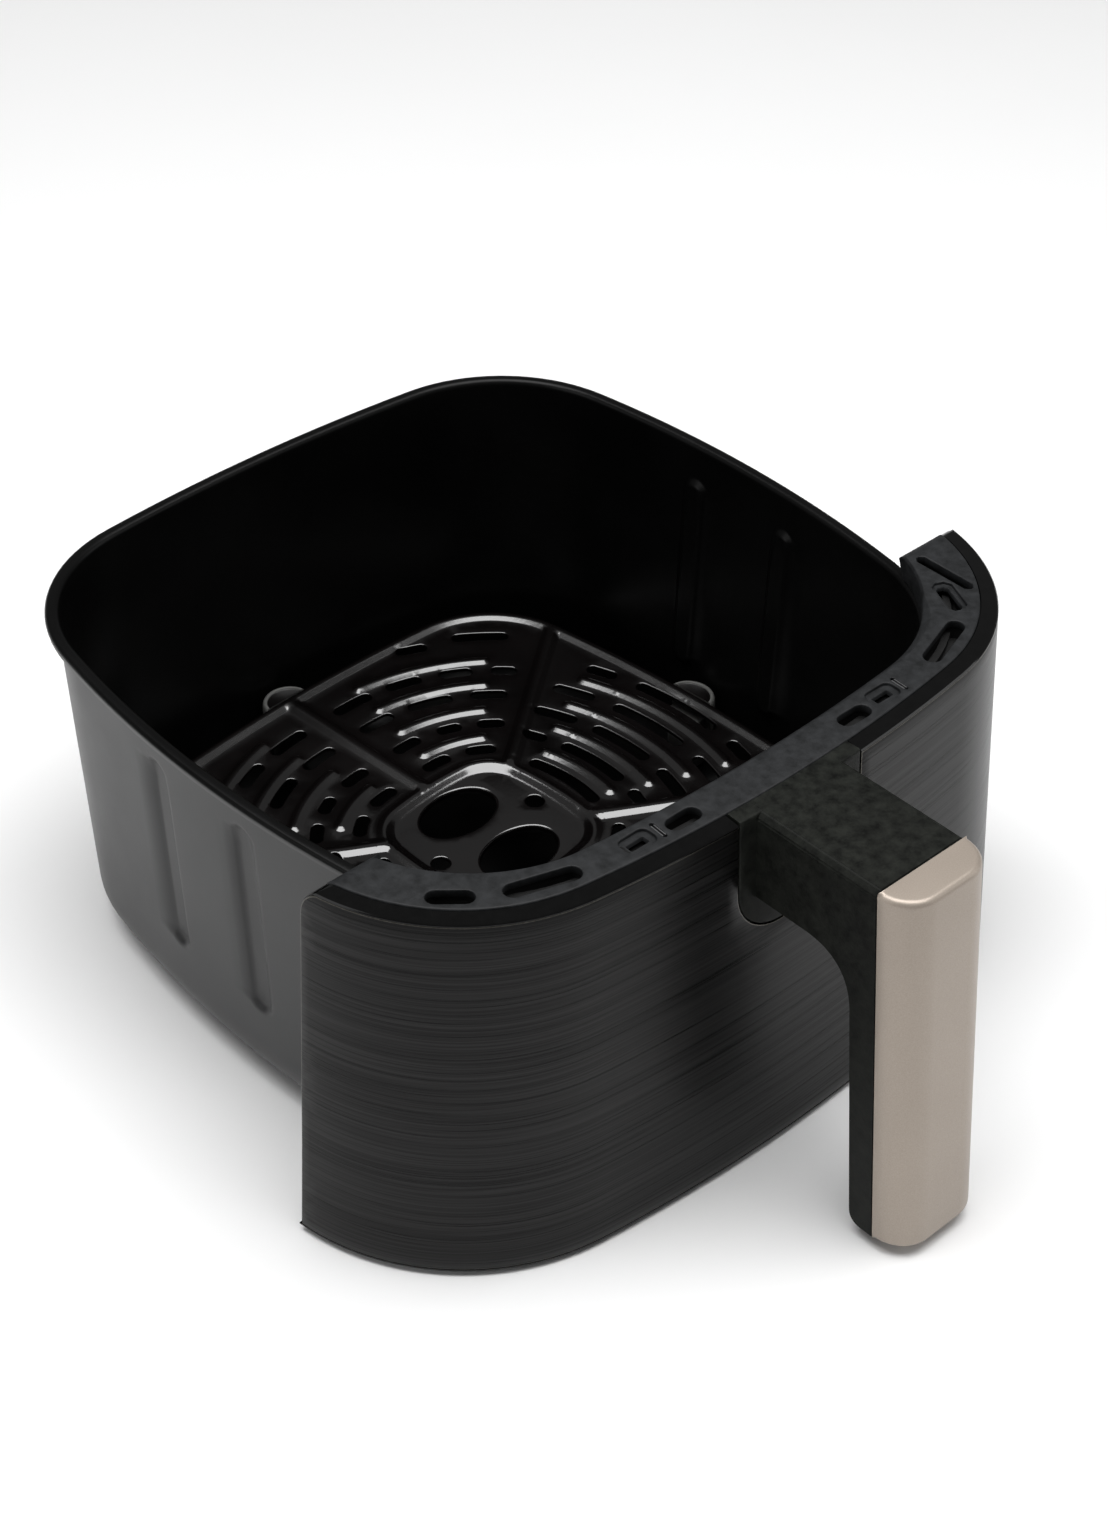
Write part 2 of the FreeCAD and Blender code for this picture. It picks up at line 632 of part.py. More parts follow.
def make_handle_body():
    half = HANDLE_WIDTH / 2
    face = profile_face(handle_section())
    face.rotate(V(0, 0, 0), Z_AXIS, 90)
    face.translate(V(-half, 0, 0))
    arm = face.extrude(V(HANDLE_WIDTH, 0, 0))
    top_edges = [edge for edge in arm.Edges
                 if edge.BoundBox.ZMin > TOP_Z - 0.01 and edge.BoundBox.XLength < 0.01]
    arm = arm.makeChamfer(ARM_CHAMFER, top_edges)
    body = arm.fuse(make_handle_flange()).removeSplitter()
    radius, length = HANDLE_SCREW
    holes = [rod(radius + SKIN_GAP, V(x, ROOT_Y + 1, z), -Y_AXIS, length + 2)
             for x, z in HANDLE_SCREWS]
    strap, screw_holes = strap_and_holes(STRAP_CLEAR)
    return body.cut(group(holes + [strap] + screw_holes))


def along_grip(shape):
    """Lean a shape built upright on the joint plane, its front towards -Y."""
    shape.rotate(V(0, 0, 0), X_AXIS, -math.degrees(LEAN))
    shape.translate(joint_point(TOP_Z))
    return shape


def strap_and_holes(gap):
    """The strap, grown by gap, and its screws' holes."""
    wide, thick = STRAP
    drop = [(TOP_Z - z) / math.cos(LEAN) for z in STRAP_Z]
    strap = box(-wide / 2 - gap, wide / 2 + gap, -gap / 3, thick + gap, -drop[0] - gap, -drop[1] + gap)
    holes = [rod(SCREW_HOLE, V(0, -1, z - TOP_Z), Y_AXIS, 10) for z in STRAP_SCREW_Z]
    return along_grip(strap), [along_grip(hole) for hole in holes]


def make_grip_strap():
    strap, holes = strap_and_holes(0)
    return strap.cut(group(holes))


def make_strap_screws():
    radius, height = SCREW_HEAD
    heads = [along_grip(rod(radius, V(0, -height, z - TOP_Z), Y_AXIS, height - SKIN_GAP))
             for z in STRAP_SCREW_Z]
    shanks = [along_grip(rod(SCREW_R, V(0, -2 * SKIN_GAP, z - TOP_Z), Y_AXIS, STRAP_SCREW_LENGTH))
              for z in STRAP_SCREW_Z]
    return group([head.fuse(shank).removeSplitter() for head, shank in zip(heads, shanks)])


def cover_block(inset, z0, z1):
    """The cover's rounded section carried down the joint plane."""
    half, depth, r = HANDLE_WIDTH / 2 - inset, COVER_DEPTH - inset, COVER_CORNER_R - inset
    k = r * (1 - math.sqrt(0.5))
    back = -SKIN_GAP if inset == 0 else 1.0
    face = profile_face([(-half, back), (half, back), (half, r - depth),
                         (half - k, k - depth, half - r, -depth), (r - half, -depth),
                         (k - half, k - depth, -half, r - depth)])
    face.rotate(V(0, 0, 0), X_AXIS, -90)
    face.translate(V(0, 0, 40))
    block = along_grip(face.extrude(V(0, 0, -220)))
    return block.common(box(-FAR, FAR, -FAR, 0, z0, z1))


def make_handle_cover():
    block = cover_block(0, GRIP_BOTTOM, TOP_Z)
    rim = [edge for edge in block.Edges
           if edge.BoundBox.ZLength < 0.01 and edge.BoundBox.YMin < joint_point(edge.BoundBox.ZMin).y - 1.0]
    block = block.makeFillet(COVER_EDGE, rim)
    hollow = cover_block(COVER_WALL, GRIP_BOTTOM + COVER_WALL, TOP_Z - COVER_WALL)
    return block.cut(hollow)


def make_handle_screws():
    radius, length = HANDLE_SCREW
    head_r, height = HANDLE_SCREW_HEAD
    screws = []
    for x, z in HANDLE_SCREWS:
        head = rod(head_r, V(x, ROOT_Y + STEEL + height, z), -Y_AXIS, height)
        screws.append(head.fuse(rod(radius, V(x, ROOT_Y + STEEL, z), -Y_AXIS, length)))
    return group(screws)


def slot_wire(centre, radius, start, end, width, z):
    """A round-ended slot bent along an arc; the angles are those of its tips."""
    cx, cy = centre
    half = width / 2
    trim = math.asin(half / radius)
    a, b = rad(start) + trim, rad(end) - trim
    if b <= a:
        a = b = (a + b) / 2
    tips = []
    for angle, turn in ((b, 1), (a, -1)):
        mx, my = cx + radius * math.cos(angle), cy + radius * math.sin(angle)
        tips.append(V(mx - turn * half * math.sin(angle), my + turn * half * math.cos(angle), z))
    edges = [arc_edge(cx, cy, radius + half, a, b, z)]
    outer_b = V(cx + (radius + half) * math.cos(b), cy + (radius + half) * math.sin(b), z)
    inner_b = V(cx + (radius - half) * math.cos(b), cy + (radius - half) * math.sin(b), z)
    outer_a = V(cx + (radius + half) * math.cos(a), cy + (radius + half) * math.sin(a), z)
    inner_a = V(cx + (radius - half) * math.cos(a), cy + (radius - half) * math.sin(a), z)
    edges.append(Part.Arc(outer_b, tips[0], inner_b).toShape())
    edges.append(arc_edge(cx, cy, radius - half, b, a, z))
    edges.append(Part.Arc(inner_a, tips[1], outer_a).toShape())
    return Part.Wire(edges)


def quarter_turns(shape):
    """A shape of the first quadrant and its three mirror images."""
    right = [shape, shape.mirror(V(0, 0, 0), Y_AXIS)]
    return right + [mirrored(item) for item in right]


def half_turns(shape):
    return [shape, mirrored(shape)]


def plate_slots():
    wires = []
    for radius, spans in CORNER_SLOTS:
        for start, end in spans:
            wires += quarter_turns(slot_wire(CORNER_SLOT_CENTRE, radius, start, end, SLOT_W, 0))
    for radius, spans in SIDE_SLOTS:
        for start, end in spans:
            wires += half_turns(slot_wire(SIDE_CENTRE, radius, start, end, SLOT_W, 0))
    return group([Part.Face(wire).extrude(V(0, 0, SLOT_CUT)) for wire in wires])


def ridge(centre, radius, start, end):
    """A raised round bead along an arc."""
    half, low = RIDGE_W / 2, PLATE_Z - RAISED_ROOT
    face = profile_face([(radius - half, low), (radius + half, low), (radius + half, PLATE_Z),
                         (radius, PLATE_Z + RIDGE_H, radius - half, PLATE_Z)])
    face.rotate(V(0, 0, 0), Z_AXIS, start)
    bead = face.revolve(V(0, 0, 0), Z_AXIS, end - start)
    bead.translate(V(centre[0], centre[1], 0))
    return bead


def rib(angle, start, length):
    """A raised straight rib from the hub to the edge bead."""
    half, low = RIB_W / 2, PLATE_Z - RAISED_ROOT
    face = profile_face([(-half, low), (half, low), (half, PLATE_Z),
                         (0, PLATE_Z + RIB_H, -half, PLATE_Z)])
    bar = face.extrude(V(0, length, 0))
    bar.translate(V(0, start, 0))
    bar.rotate(V(0, 0, 0), Z_AXIS, angle - 90)
    return bar


def make_crisper_plate():
    under = PLATE_Z - PLATE_THICK
    half_bead = BEAD_WIDE / 2
    crest = PLATE_Z + BEAD_HIGH
    edge = [(-BEAD_WIDE, under), (-half_bead, crest - PLATE_THICK), (-PLATE_THICK, crest - 2.4),
            (-PLATE_THICK, SKIRT_Z), (0, SKIRT_Z), (0, crest - 1.6),
            (-0.5, crest - 0.5, -1.6, crest), (-half_bead, crest), (-BEAD_WIDE, PLATE_Z)]
    floor_z = PLATE_Z - HUB_DEPTH
    dish = [(-HUB_FLANK, floor_z - PLATE_THICK), (-HUB_FLANK, floor_z), (0, PLATE_Z), (0, under)]
    sheet = prism(PLATE, -BEAD_WIDE, under, PLATE_Z)
    beads = [ridge(CORNER_RIDGE_CENTRE, *row) for row in CORNER_RIDGES]
    raised = [item for bead in beads for item in quarter_turns(bead)]
    raised += [item for row in SIDE_RIDGES for item in half_turns(ridge(SIDE_CENTRE, *row))]
    reach = PLATE_HALF_Y - BEAD_WIDE / 2
    raised += [rib(angle, HUB_HALF, reach - HUB_HALF) for angle in (90, -90)]
    raised += [rib(angle, HUB_HALF, RIB_REACH - HUB_HALF)
               for angle in (RIB_ANGLE, -RIB_ANGLE, 180 - RIB_ANGLE, RIB_ANGLE - 180)]
    raised = [item.common(prism(PLATE, -half_bead, 0, SLOT_CUT)) for item in raised]
    solid = sheet.multiFuse(raised).cut(prism(HUB, 0, 0, SLOT_CUT))
    plate = fuse([solid, sweep(edge, PLATE), sweep(dish, HUB),
                  prism(HUB, -HUB_FLANK, floor_z - PLATE_THICK, floor_z)])
    y, half_x, half_y = FINGER_HOLE
    x, radius = SMALL_HOLE
    holes = [plate_slots()]
    for side in (-1, 1):
        ellipse = Part.Ellipse(V(0, side * y, 0), half_x, half_y).toShape()
        holes.append(Part.Face(Part.Wire([ellipse])).extrude(V(0, 0, SLOT_CUT)))
        holes.append(rod(radius, V(side * x, 0, 0), Z_AXIS, SLOT_CUT))
    return plate.cut(group(holes))


def make_bumper(angle):
    """A half-round silicone pad that grips the skirt and stands just off the pan's floor."""
    out, low, high, gap = BUMPER_OUT, BUMPER_Z[0], BUMPER_Z[1], BUMPER_GAP
    face = profile_face([(gap, high - 1.5), (1.5, high), (out - 2.5, high),
                         (out - 0.7, high - 0.7, out, high - 2.5), (out, 19),
                         (out - 1.6, 11.5, 1.0, low), (-BUMPER_IN, low),
                         (-BUMPER_IN, SKIRT_Z - gap), (gap, SKIRT_Z - gap)])
    reach = PLATE_HALF_X if angle in (0, 180) else PLATE_HALF_Y
    face.translate(V(reach, -BUMPER_R, 0))
    round_end = Part.makeCylinder(BUMPER_R, high, V(reach + out - BUMPER_R, 0, 0))
    pad = face.extrude(V(0, 2 * BUMPER_R, 0)).common(round_end)
    pad = pad.cut(prism(turned(PLATE, -angle), gap, SKIRT_Z, SLOT_CUT))
    pad.rotate(V(0, 0, 0), Z_AXIS, angle)
    return pad


def turned(arcs, degrees):
    """An outline turned about the origin by a multiple of 90 degrees."""
    c, s = round(math.cos(rad(degrees))), round(math.sin(rad(degrees)))
    return [(c * x - s * y, s * x + c * y, r, a + rad(degrees), b + rad(degrees))
            for x, y, r, a, b in arcs]


def main():
    os.makedirs("parts", exist_ok=True)
    nodes = {
        "pan": make_pan(),
        "pan_studs": make_pan_studs(pan_envelope()),
        "stud_nuts": make_stud_nuts(),
        "pan_hanger": make_pan_hanger(),
        "front_skin": make_front_skin(),
        "front_shell": make_front_shell(),
        "top_bracket": make_top_bracket(),
        "bracket_screws": make_bracket_screws(),
        "snap_clip_left": make_snap_clip(-1),
        "snap_clip_right": make_snap_clip(1),
        "inner_cover": make_inner_cover(),
        "cover_screws": make_cover_screws(),
        "heat_shield": make_heat_shield(),
        "handle_body": make_handle_body(),
        "handle_cover": make_handle_cover(),
        "handle_screws": make_handle_screws(),
        "grip_strap": make_grip_strap(),
        "strap_screws": make_strap_screws(),
    }
    crisper = {"crisper_plate": make_crisper_plate()}
    for name, angle in (("right", 0), ("rear", 90), ("left", 180), ("front", 270)):
        crisper["bumper_" + name] = make_bumper(angle)
    for name, shape in crisper.items():
        shape.rotate(V(0, 0, 0), Z_AXIS, PLATE_TURN)
        nodes[name] = shape
    for name, shape in nodes.items():
        print(name, shape.isValid(), len(shape.Solids), round(shape.Volume / 1000, 2))
        shape.exportStep("parts/" + name + ".step")


main()
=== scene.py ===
"""Looks of the air fryer drawer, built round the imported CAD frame.

Lengths in this script are millimetres in the row's frame until a point is placed;
the helper "metres" turns them into Blender's metres.
"""
import bpy
import bmesh
import json
import math
from mathutils import Matrix, Quaternion, Vector
from mathutils.geometry import delaunay_2d_cdt


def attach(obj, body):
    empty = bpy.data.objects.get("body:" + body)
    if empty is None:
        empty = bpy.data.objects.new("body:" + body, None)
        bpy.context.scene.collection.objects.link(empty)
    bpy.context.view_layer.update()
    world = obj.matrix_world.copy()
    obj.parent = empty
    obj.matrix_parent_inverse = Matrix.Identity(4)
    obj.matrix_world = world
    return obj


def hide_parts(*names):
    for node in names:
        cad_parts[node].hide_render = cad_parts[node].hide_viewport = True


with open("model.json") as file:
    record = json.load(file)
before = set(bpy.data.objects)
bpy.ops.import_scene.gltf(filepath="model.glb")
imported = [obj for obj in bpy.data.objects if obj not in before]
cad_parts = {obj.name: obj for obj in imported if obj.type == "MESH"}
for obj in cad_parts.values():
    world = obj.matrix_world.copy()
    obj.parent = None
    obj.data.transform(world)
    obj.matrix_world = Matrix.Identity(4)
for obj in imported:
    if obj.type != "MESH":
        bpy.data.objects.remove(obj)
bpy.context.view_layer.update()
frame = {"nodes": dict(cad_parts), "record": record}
MM = 0.001

# ---- sizes shared with the CAD, in millimetres ----
TOP_Z = 134.0
PAN = {"half_x": 120.0, "half_y": 118.6, "side_r": 418.0, "end_r": 645.0, "corner_r": 56.0}
PAN_HEIGHT, PAN_WALL, PAN_SLOPE, PAN_FLOOR_R, LIP_OUT = 125.0, 1.2, 0.037, 18.5, 3.5
GROOVE_Y, GROOVE_WIDTH, GROOVE_Z, GROOVE_DEPTH = 21.0, 9.0, (36.0, 111.0), 1.8
PANEL = {"half_x": 136.0, "half_y": 135.7, "side_r": 859.0, "end_r": 551.0, "corner_r": 66.8}
PANEL_TOP, PANEL_FLARE, PANEL_END_Y, PANEL_END_R = 133.2, 0.061, -72.5, 9.0
SKIN, BAND = 0.8, 5.4
SKIN_Z = (3.0, 132.5)
BRACKET_THICK, BRACKET_GAP, BRACKET_INNER, BRACKET_LIP_Z = 2.7, 0.3, -4.2, 125.6
BRACKET_END_Y, BRACKET_END_R, BRACKET_CHAMFER = -75.0, 4.0, 2.8
OVAL_SLOT = (35.4, -122.9, 12.4, 5.8, 0.0)
LONG_SLOT = (82.9, -116.2, 23.6, 6.0, 18.2)
LEFT_SLOT = (-105.9, -104.0, 14.0, 5.6, -41.0)
RIGHT_STEP = (102.2, -101.6, 15.4, 6.8, 66.0)
EDGE_SLOT = (110.6, -92.2, 22.8, 3.8, 90.0)
EDGE_CUT, STEP_CUT, WINDOW_R = 1.4, 1.9, 2.35
WINDOWS = ((-51.7, -121.2, 11.0, 7.0), (49.4, -121.4, 11.0, 7.0))
CLIP_SLOTS = ((-44.1, -121.7, 7.4, 1.5, 86.0), (56.8, -121.4, 7.2, 1.5, 88.0))
FLANGE_HALF, FLANGE_BOTTOM, FLANGE_R, FLANGE_DEPTH, FLANGE_GAP = 25.0, 90.5, 17.0, 4.3, 0.4
PLATE = {"half_x": 103.0, "half_y": 101.3, "side_r": 560.0, "end_r": 600.0, "corner_r": 39.0}
PLATE_Z, PLATE_THICK, PLATE_TURN, SKIRT_Z = 32.1, 1.5, 4.0, 26.0
HUB = {"half_x": 30.0, "half_y": 30.0, "side_r": 130.0, "end_r": 130.0, "corner_r": 15.0}
HUB_DEPTH, HUB_BEAD = 1.1, 0.9
BEAD_FOOT, BEAD_TOP, BEAD_HIGH = 4.6, 2.7, 1.15
BUMPERS = (("bumper_right", 0, 103.0), ("bumper_rear", 90, 101.3), ("bumper_left", 180, 103.0),
           ("bumper_front", 270, 101.3))
HANDLE_HALF, JOINT_Y, LEAN, GRIP_BOTTOM = 18.5, -181.0, 0.093, 4.2
ARM_ROOT, ARM_CHAMFER, ARM_EDGE, ARM_UNDER = -130.4, 1.9, 0.45, 103.5


# ======================= outlines =======================

def oval(half_x, half_y, side_r, end_r, corner_r):
    """Twelve tangent arcs (cx, cy, radius, start, end), counterclockwise in radians."""
    side = Vector((half_x - side_r, 0.0))
    end = Vector((0.0, half_y - end_r))
    gap = (end - side).length
    r_side, r_end = side_r - corner_r, end_r - corner_r
    along = (r_side ** 2 - r_end ** 2 + gap ** 2) / (2 * gap)
    across = math.sqrt(r_side ** 2 - along ** 2)
    unit = (end - side) / gap
    turned = Vector((unit.y, -unit.x))
    corner = side + unit * along + turned * across
    if corner.x < 0:
        corner = side + unit * along - turned * across
    low = math.atan2(corner.y - side.y, corner.x - side.x)
    high = math.atan2(corner.y - end.y, corner.x - end.x)
    first = [(side.x, side.y, side_r, 0.0, low), (corner.x, corner.y, corner_r, low, high),
             (end.x, end.y, end_r, high, math.pi / 2)]
    arcs = list(first)
    arcs += [(-x, y, r, math.pi - b, math.pi - a) for x, y, r, a, b in reversed(first)]
    arcs += [(-x, -y, r, a - math.pi, b - math.pi) for x, y, r, a, b in first]
    arcs += [(x, -y, r, -b, -a) for x, y, r, a, b in reversed(first)]
    return arcs


def walk(arcs, step, dense=None):
    """Stations (x, y, nx, ny) round an outline, about a step apart.

    dense(x, y) may return a smaller step for a place that needs it."""
    stations = []
    for cx, cy, radius, start, end in arcs:
        angle = start
        while angle < end - 1e-9:
            nx, ny = math.cos(angle), math.sin(angle)
            x, y = cx + radius * nx, cy + radius * ny
            stations.append((x, y, nx, ny))
            here = dense(x, y) if dense else step
            angle += min(here / radius, math.radians(4.0))
    return stations


def offset_of(arcs, x, y):
    """Signed distance of a point from an oval, negative inside."""
    x, y = abs(x), abs(y)
    for cx, cy, radius, start, end in arcs[:3]:
        angle = math.atan2(y - cy, x - cx)
        if start - 1e-9 <= angle <= end + 1e-9:
            return math.hypot(x - cx, y - cy) - radius
    return -20.0


RIM_ARCS, PANEL_ARCS = oval(**PAN), oval(**PANEL)
PLATE_ARCS, HUB_ARCS = oval(**PLATE), oval(**HUB)


def smooth(t):
    t = min(1.0, max(0.0, t))
    return t * t * (3 - 2 * t)


def metres(x, y, z):
    return Vector((x * MM, y * MM, z * MM))


# ======================= mesh building =======================

class Sheet:
    """Collects points and faces of one piece."""

    def __init__(self):
        self.points = []
        self.faces = []
        self.slots = []

    def ring(self, points):
        first = len(self.points)
        self.points += points
        return list(range(first, len(self.points)))

    def face(self, ids, slot=0):
        self.faces.append(ids)
        self.slots.append(slot)

    def bridge(self, a, b, slot=0):
        count = len(a)
        for i in range(count):
            j = (i + 1) % count
            self.face((a[i], a[j], b[j], b[i]), slot)

    def tube(self, rings, slots=(0, 0), change=0):
        """Walls through the rings and a cap at each end; the material slot changes at one ring."""
        self.face(list(reversed(rings[0])), slots[0])
        for number, (a, b) in enumerate(zip(rings, rings[1:])):
            self.bridge(a, b, slots[0] if number < change else slots[1])
        self.face(rings[-1], slots[1])

    def build(self, name, materials, angle=35.0):
        mesh = bpy.data.meshes.new(name)
        mesh.from_pydata(self.points, [], self.faces)
        for material in materials:
            mesh.materials.append(material)
        for polygon, slot in zip(mesh.polygons, self.slots):
            polygon.material_index = slot
        work = bmesh.new()
        work.from_mesh(mesh)
        bmesh.ops.recalc_face_normals(work, faces=work.faces)
        work.to_mesh(mesh)
        work.free()
        return finish_mesh(name, mesh, angle)


def finish_mesh(name, mesh, angle):
    mesh.validate()
    for polygon in mesh.polygons:
        polygon.use_smooth = True
    mesh.set_sharp_from_angle(angle=math.radians(angle))
    piece = bpy.data.objects.new(name, mesh)
    bpy.context.scene.collection.objects.link(piece)
    return piece


def inside(point, loop):
    x, y = point
    odd = False
    for (x0, y0), (x1, y1) in zip(loop, loop[1:] + loop[:1]):
        if (y0 > y) != (y1 > y) and x < (x1 - x0) * (y - y0) / (y1 - y0) + x0:
            odd = not odd
    return odd


def triangles(loops, extra=()):
    """Triangles inside the first loop and outside the others, as indices into all points."""
    points = [p for loop in loops for p in loop] + list(extra)
    edges, owner = [], []
    for number, loop in enumerate(loops):
        first = len(owner)
        count = len(loop)
        edges += [(first + i, first + (i + 1) % count) for i in range(count)]
        owner += [number] * count
    owner += [-1] * len(extra)
    result = delaunay_2d_cdt([Vector(p) for p in points], edges, [], 1, 1e-7)
    source = [ids[0] for ids in result[3]]
    kept = []
    for tri in result[2]:
        ids = [source[i] for i in tri]
        owners = {owner[i] for i in ids}
        if len(owners) == 1 and max(owners) > 0:
            middle = [sum(points[i][axis] for i in ids) / 3 for axis in (0, 1)]
            if inside(middle, loops[max(owners)]):
                continue
        kept.append(ids)
    return kept


def loop_normals(loop):
    """Outward mitred normals of a counterclockwise loop."""
    count = len(loop)
    normals = []
    for i in range(count):
        before = Vector(loop[i]) - Vector(loop[i - 1])
        after = Vector(loop[(i + 1) % count]) - Vector(loop[i])
        before.normalize()
        after.normalize()
        tangent = before + after
        if tangent.length < 1e-6:
            tangent = after
        tangent.normalize()
        scale = 1.0 / max(0.5, tangent.dot(after))
        normals.append(Vector((tangent.y, -tangent.x)) * scale)
    return normals


def grown(loops, amount):
    """The loops moved outward, each with its bounds (loop, x0, x1, y0, y1)."""
    result = []
    for loop in loops:
        moved = [(x + n.x * amount, y + n.y * amount) for (x, y), n in zip(loop, loop_normals(loop))]
        xs, ys = [p[0] for p in moved], [p[1] for p in moved]
        result.append((moved, min(xs), max(xs), min(ys), max(ys)))
    return result


def clear_of(x, y, bounded):
    """Whether a point is outside all the grown loops."""
    for loop, x0, x1, y0, y1 in bounded:
        if x0 < x < x1 and y0 < y < y1 and inside((x, y), loop):
            return False
    return True


def slab(name, outer, holes, steps, place, materials, extra=(), under=(), angle=35.0, wall_slot=0):
    """A sheet with rounded edges; steps go from the top face's edge to the bottom face's edge.

    steps(loop number, point) lists (inset, depth) pairs, the same count for every point.
    place(u, v, depth) gives the 3-D point."""
    sheet = Sheet()
    loops = [outer] + list(holes)
    columns = []
    for number, loop in enumerate(loops):
        side = -1.0 if number == 0 else 1.0
        for point, normal in zip(loop, loop_normals(loop)):
            column = []
            for inset, depth in steps(number, point):
                moved = Vector(point) + normal * side * inset
                column.append((moved.x, moved.y, depth))
            columns.append(column)
    levels = len(columns[0])
    rings = []
    for level in range(levels):
        rings.append(sheet.ring([place(*column[level]) for column in columns]))
    first = 0
    spans = []
    for loop in loops:
        spans.append((first, first + len(loop)))
        first += len(loop)
    for level in range(levels - 1):
        for start, end in spans:
            sheet.bridge(rings[level][start:end], rings[level + 1][start:end], wall_slot)
    for level, more in ((0, extra), (levels - 1, under)):
        flat = [[column[level][:2] for column in columns[start:end]] for start, end in spans]
        ids = list(rings[level])
        ids += sheet.ring([place(*(tuple(p) if len(p) == 3 else (p[0], p[1], columns[0][level][2])))
                           for p in more])
        for tri in triangles(flat, [p[:2] for p in more]):
            sheet.face([ids[i] for i in tri])
    return sheet.build(name, materials, angle)


def round_steps(radius, top, bottom, count=3):
    """Edge steps of a sheet whose edges are rounded at the top and the bottom."""
    pairs = []
    for i in range(count + 1):
        turn = math.pi / 2 * i / count
        pairs.append((radius * (1 - math.sin(turn)), top - radius * (1 - math.cos(turn))))
    for i in range(count + 1):
        turn = math.pi / 2 * i / count
        pairs.append((radius * (1 - math.cos(turn)), bottom + radius * (1 - math.sin(turn))))
    return pairs


def arc_points(cx, cy, radius, start, end, count):
    """Points on an arc, angles in degrees, both ends included."""
    return [polar((cx, cy), radius, start + (end - start) * i / count) for i in range(count + 1)]


def polar(centre, radius, degrees):
    angle = math.radians(degrees)
    return centre[0] + radius * math.cos(angle), centre[1] + radius * math.sin(angle)


def laid(loop, x, y, angle):
    """A loop turned about its own origin by an angle in degrees and put at a place."""
    c, s = math.cos(math.radians(angle)), math.sin(math.radians(angle))
    return [(x + c * u - s * v, y + s * u + c * v) for u, v in loop]


def capsule_loop(place, count=8):
    """A counterclockwise round-ended slot (x, y, length, width, angle)."""
    x, y, length, width, angle = place
    radius, half = width / 2, (length - width) / 2
    loop = arc_points(half, 0, radius, -90, 90, count) + arc_points(-half, 0, radius, 90, 270, count)
    return laid(loop, x, y, angle)


def cut_slot(place, cut):
    """A counterclockwise slot (x, y, length, width, angle) with its corners cut off."""
    x, y, length, width, angle = place
    u, v = length / 2, width / 2
    loop = [(u - cut, -v), (u, -v + cut), (u, v - cut), (u - cut, v),
            (cut - u, v), (-u, v - cut), (-u, cut - v), (cut - u, -v)]
    return laid(loop, x, y, angle)


def rounded_box(x0, x1, y0, y1, radius, count=4):
    corners = ((x1 - radius, y1 - radius), (x0 + radius, y1 - radius),
               (x0 + radius, y0 + radius), (x1 - radius, y0 + radius))
    loop = []
    for number, (x, y) in enumerate(corners):
        loop += arc_points(x, y, radius, 90 * number, 90 * number + 90, count)
    return loop


def flipped(loop):
    """The mirror image in X, still counterclockwise."""
    return [(-x, y) for x, y in reversed(loop)]


# ======================= pan =======================

def wall_offset(z):
    return -LIP_OUT - PAN_SLOPE * (PAN_HEIGHT - z)


def groove(x, y, z):
    """How far the pressed grooves move the wall inward at a place."""
    if abs(x) < 90:
        return 0.0
    across = abs(abs(y) - GROOVE_Y)
    low, high = GROOVE_Z[0] + GROOVE_WIDTH / 2, GROOVE_Z[1] - GROOVE_WIDTH / 2
    beyond = max(low - z, z - high, 0.0)
    distance = math.hypot(across, beyond)
    flank = 1.5
    return GROOVE_DEPTH * smooth((GROOVE_WIDTH / 2 + flank - distance) / (2 * flank))


def pan_levels():
    """Heights of the wall's rows, closer together at the ends of the grooves."""
    levels = []
    z = PAN_FLOOR_R + 2
    while z < PAN_HEIGHT - 7:
        levels.append(z)
        near = min(abs(z - end) for end in GROOVE_Z)
        z += 0.7 if near < 6.5 else 6.0
    return levels


def pan_profile():
    """(offset, z, follows the grooves) from the floor's inside edge round to its underside."""
    tilt = math.atan(PAN_SLOPE)
    centre = wall_offset(PAN_FLOOR_R * (1 - math.sin(tilt))) - PAN_FLOOR_R * math.cos(tilt)
    inner = []
    for i in range(11):
        angle = -math.pi / 2 + (math.pi / 2 - tilt) * i / 10
        radius = PAN_FLOOR_R - PAN_WALL
        inner.append((centre + radius * math.cos(angle), PAN_FLOOR_R + radius * math.sin(angle), 0))
    inner += [(wall_offset(z) - PAN_WALL, z, 1) for z in pan_levels()]
    base = wall_offset(PAN_HEIGHT)
    mouth = 2.2
    for i in range(6):
        turn = math.pi / 2 * i / 5
        inner.append((base - PAN_WALL + mouth * (1 - math.cos(turn)) * 0.9,
                      PAN_HEIGHT - mouth + mouth * math.sin(turn), 0))
    lip = 1.7
    for i in range(1, 7):
        turn = math.pi * 0.62 * i / 6
        inner.append((-lip + lip * math.sin(turn), PAN_HEIGHT - lip + lip * math.cos(turn), 0))
    outer = [(-0.25, PAN_HEIGHT - 3.2, 0), (-0.9, PAN_HEIGHT - 3.3, 0), (-1.2, PAN_HEIGHT - 2.4, 0),
             (base + 0.9, PAN_HEIGHT - 1.9, 0), (base + 0.25, PAN_HEIGHT - 2.3, 0),
             (wall_offset(PAN_HEIGHT - 3.4), PAN_HEIGHT - 3.4, 0)]
    outer += [(wall_offset(z), z, 1) for z in reversed(pan_levels())]
    for i in range(11):
        angle = -tilt - (math.pi / 2 - tilt) * i / 10
        outer.append((centre + PAN_FLOOR_R * math.cos(angle),
                      PAN_FLOOR_R + PAN_FLOOR_R * math.sin(angle), 0))
    return inner, outer


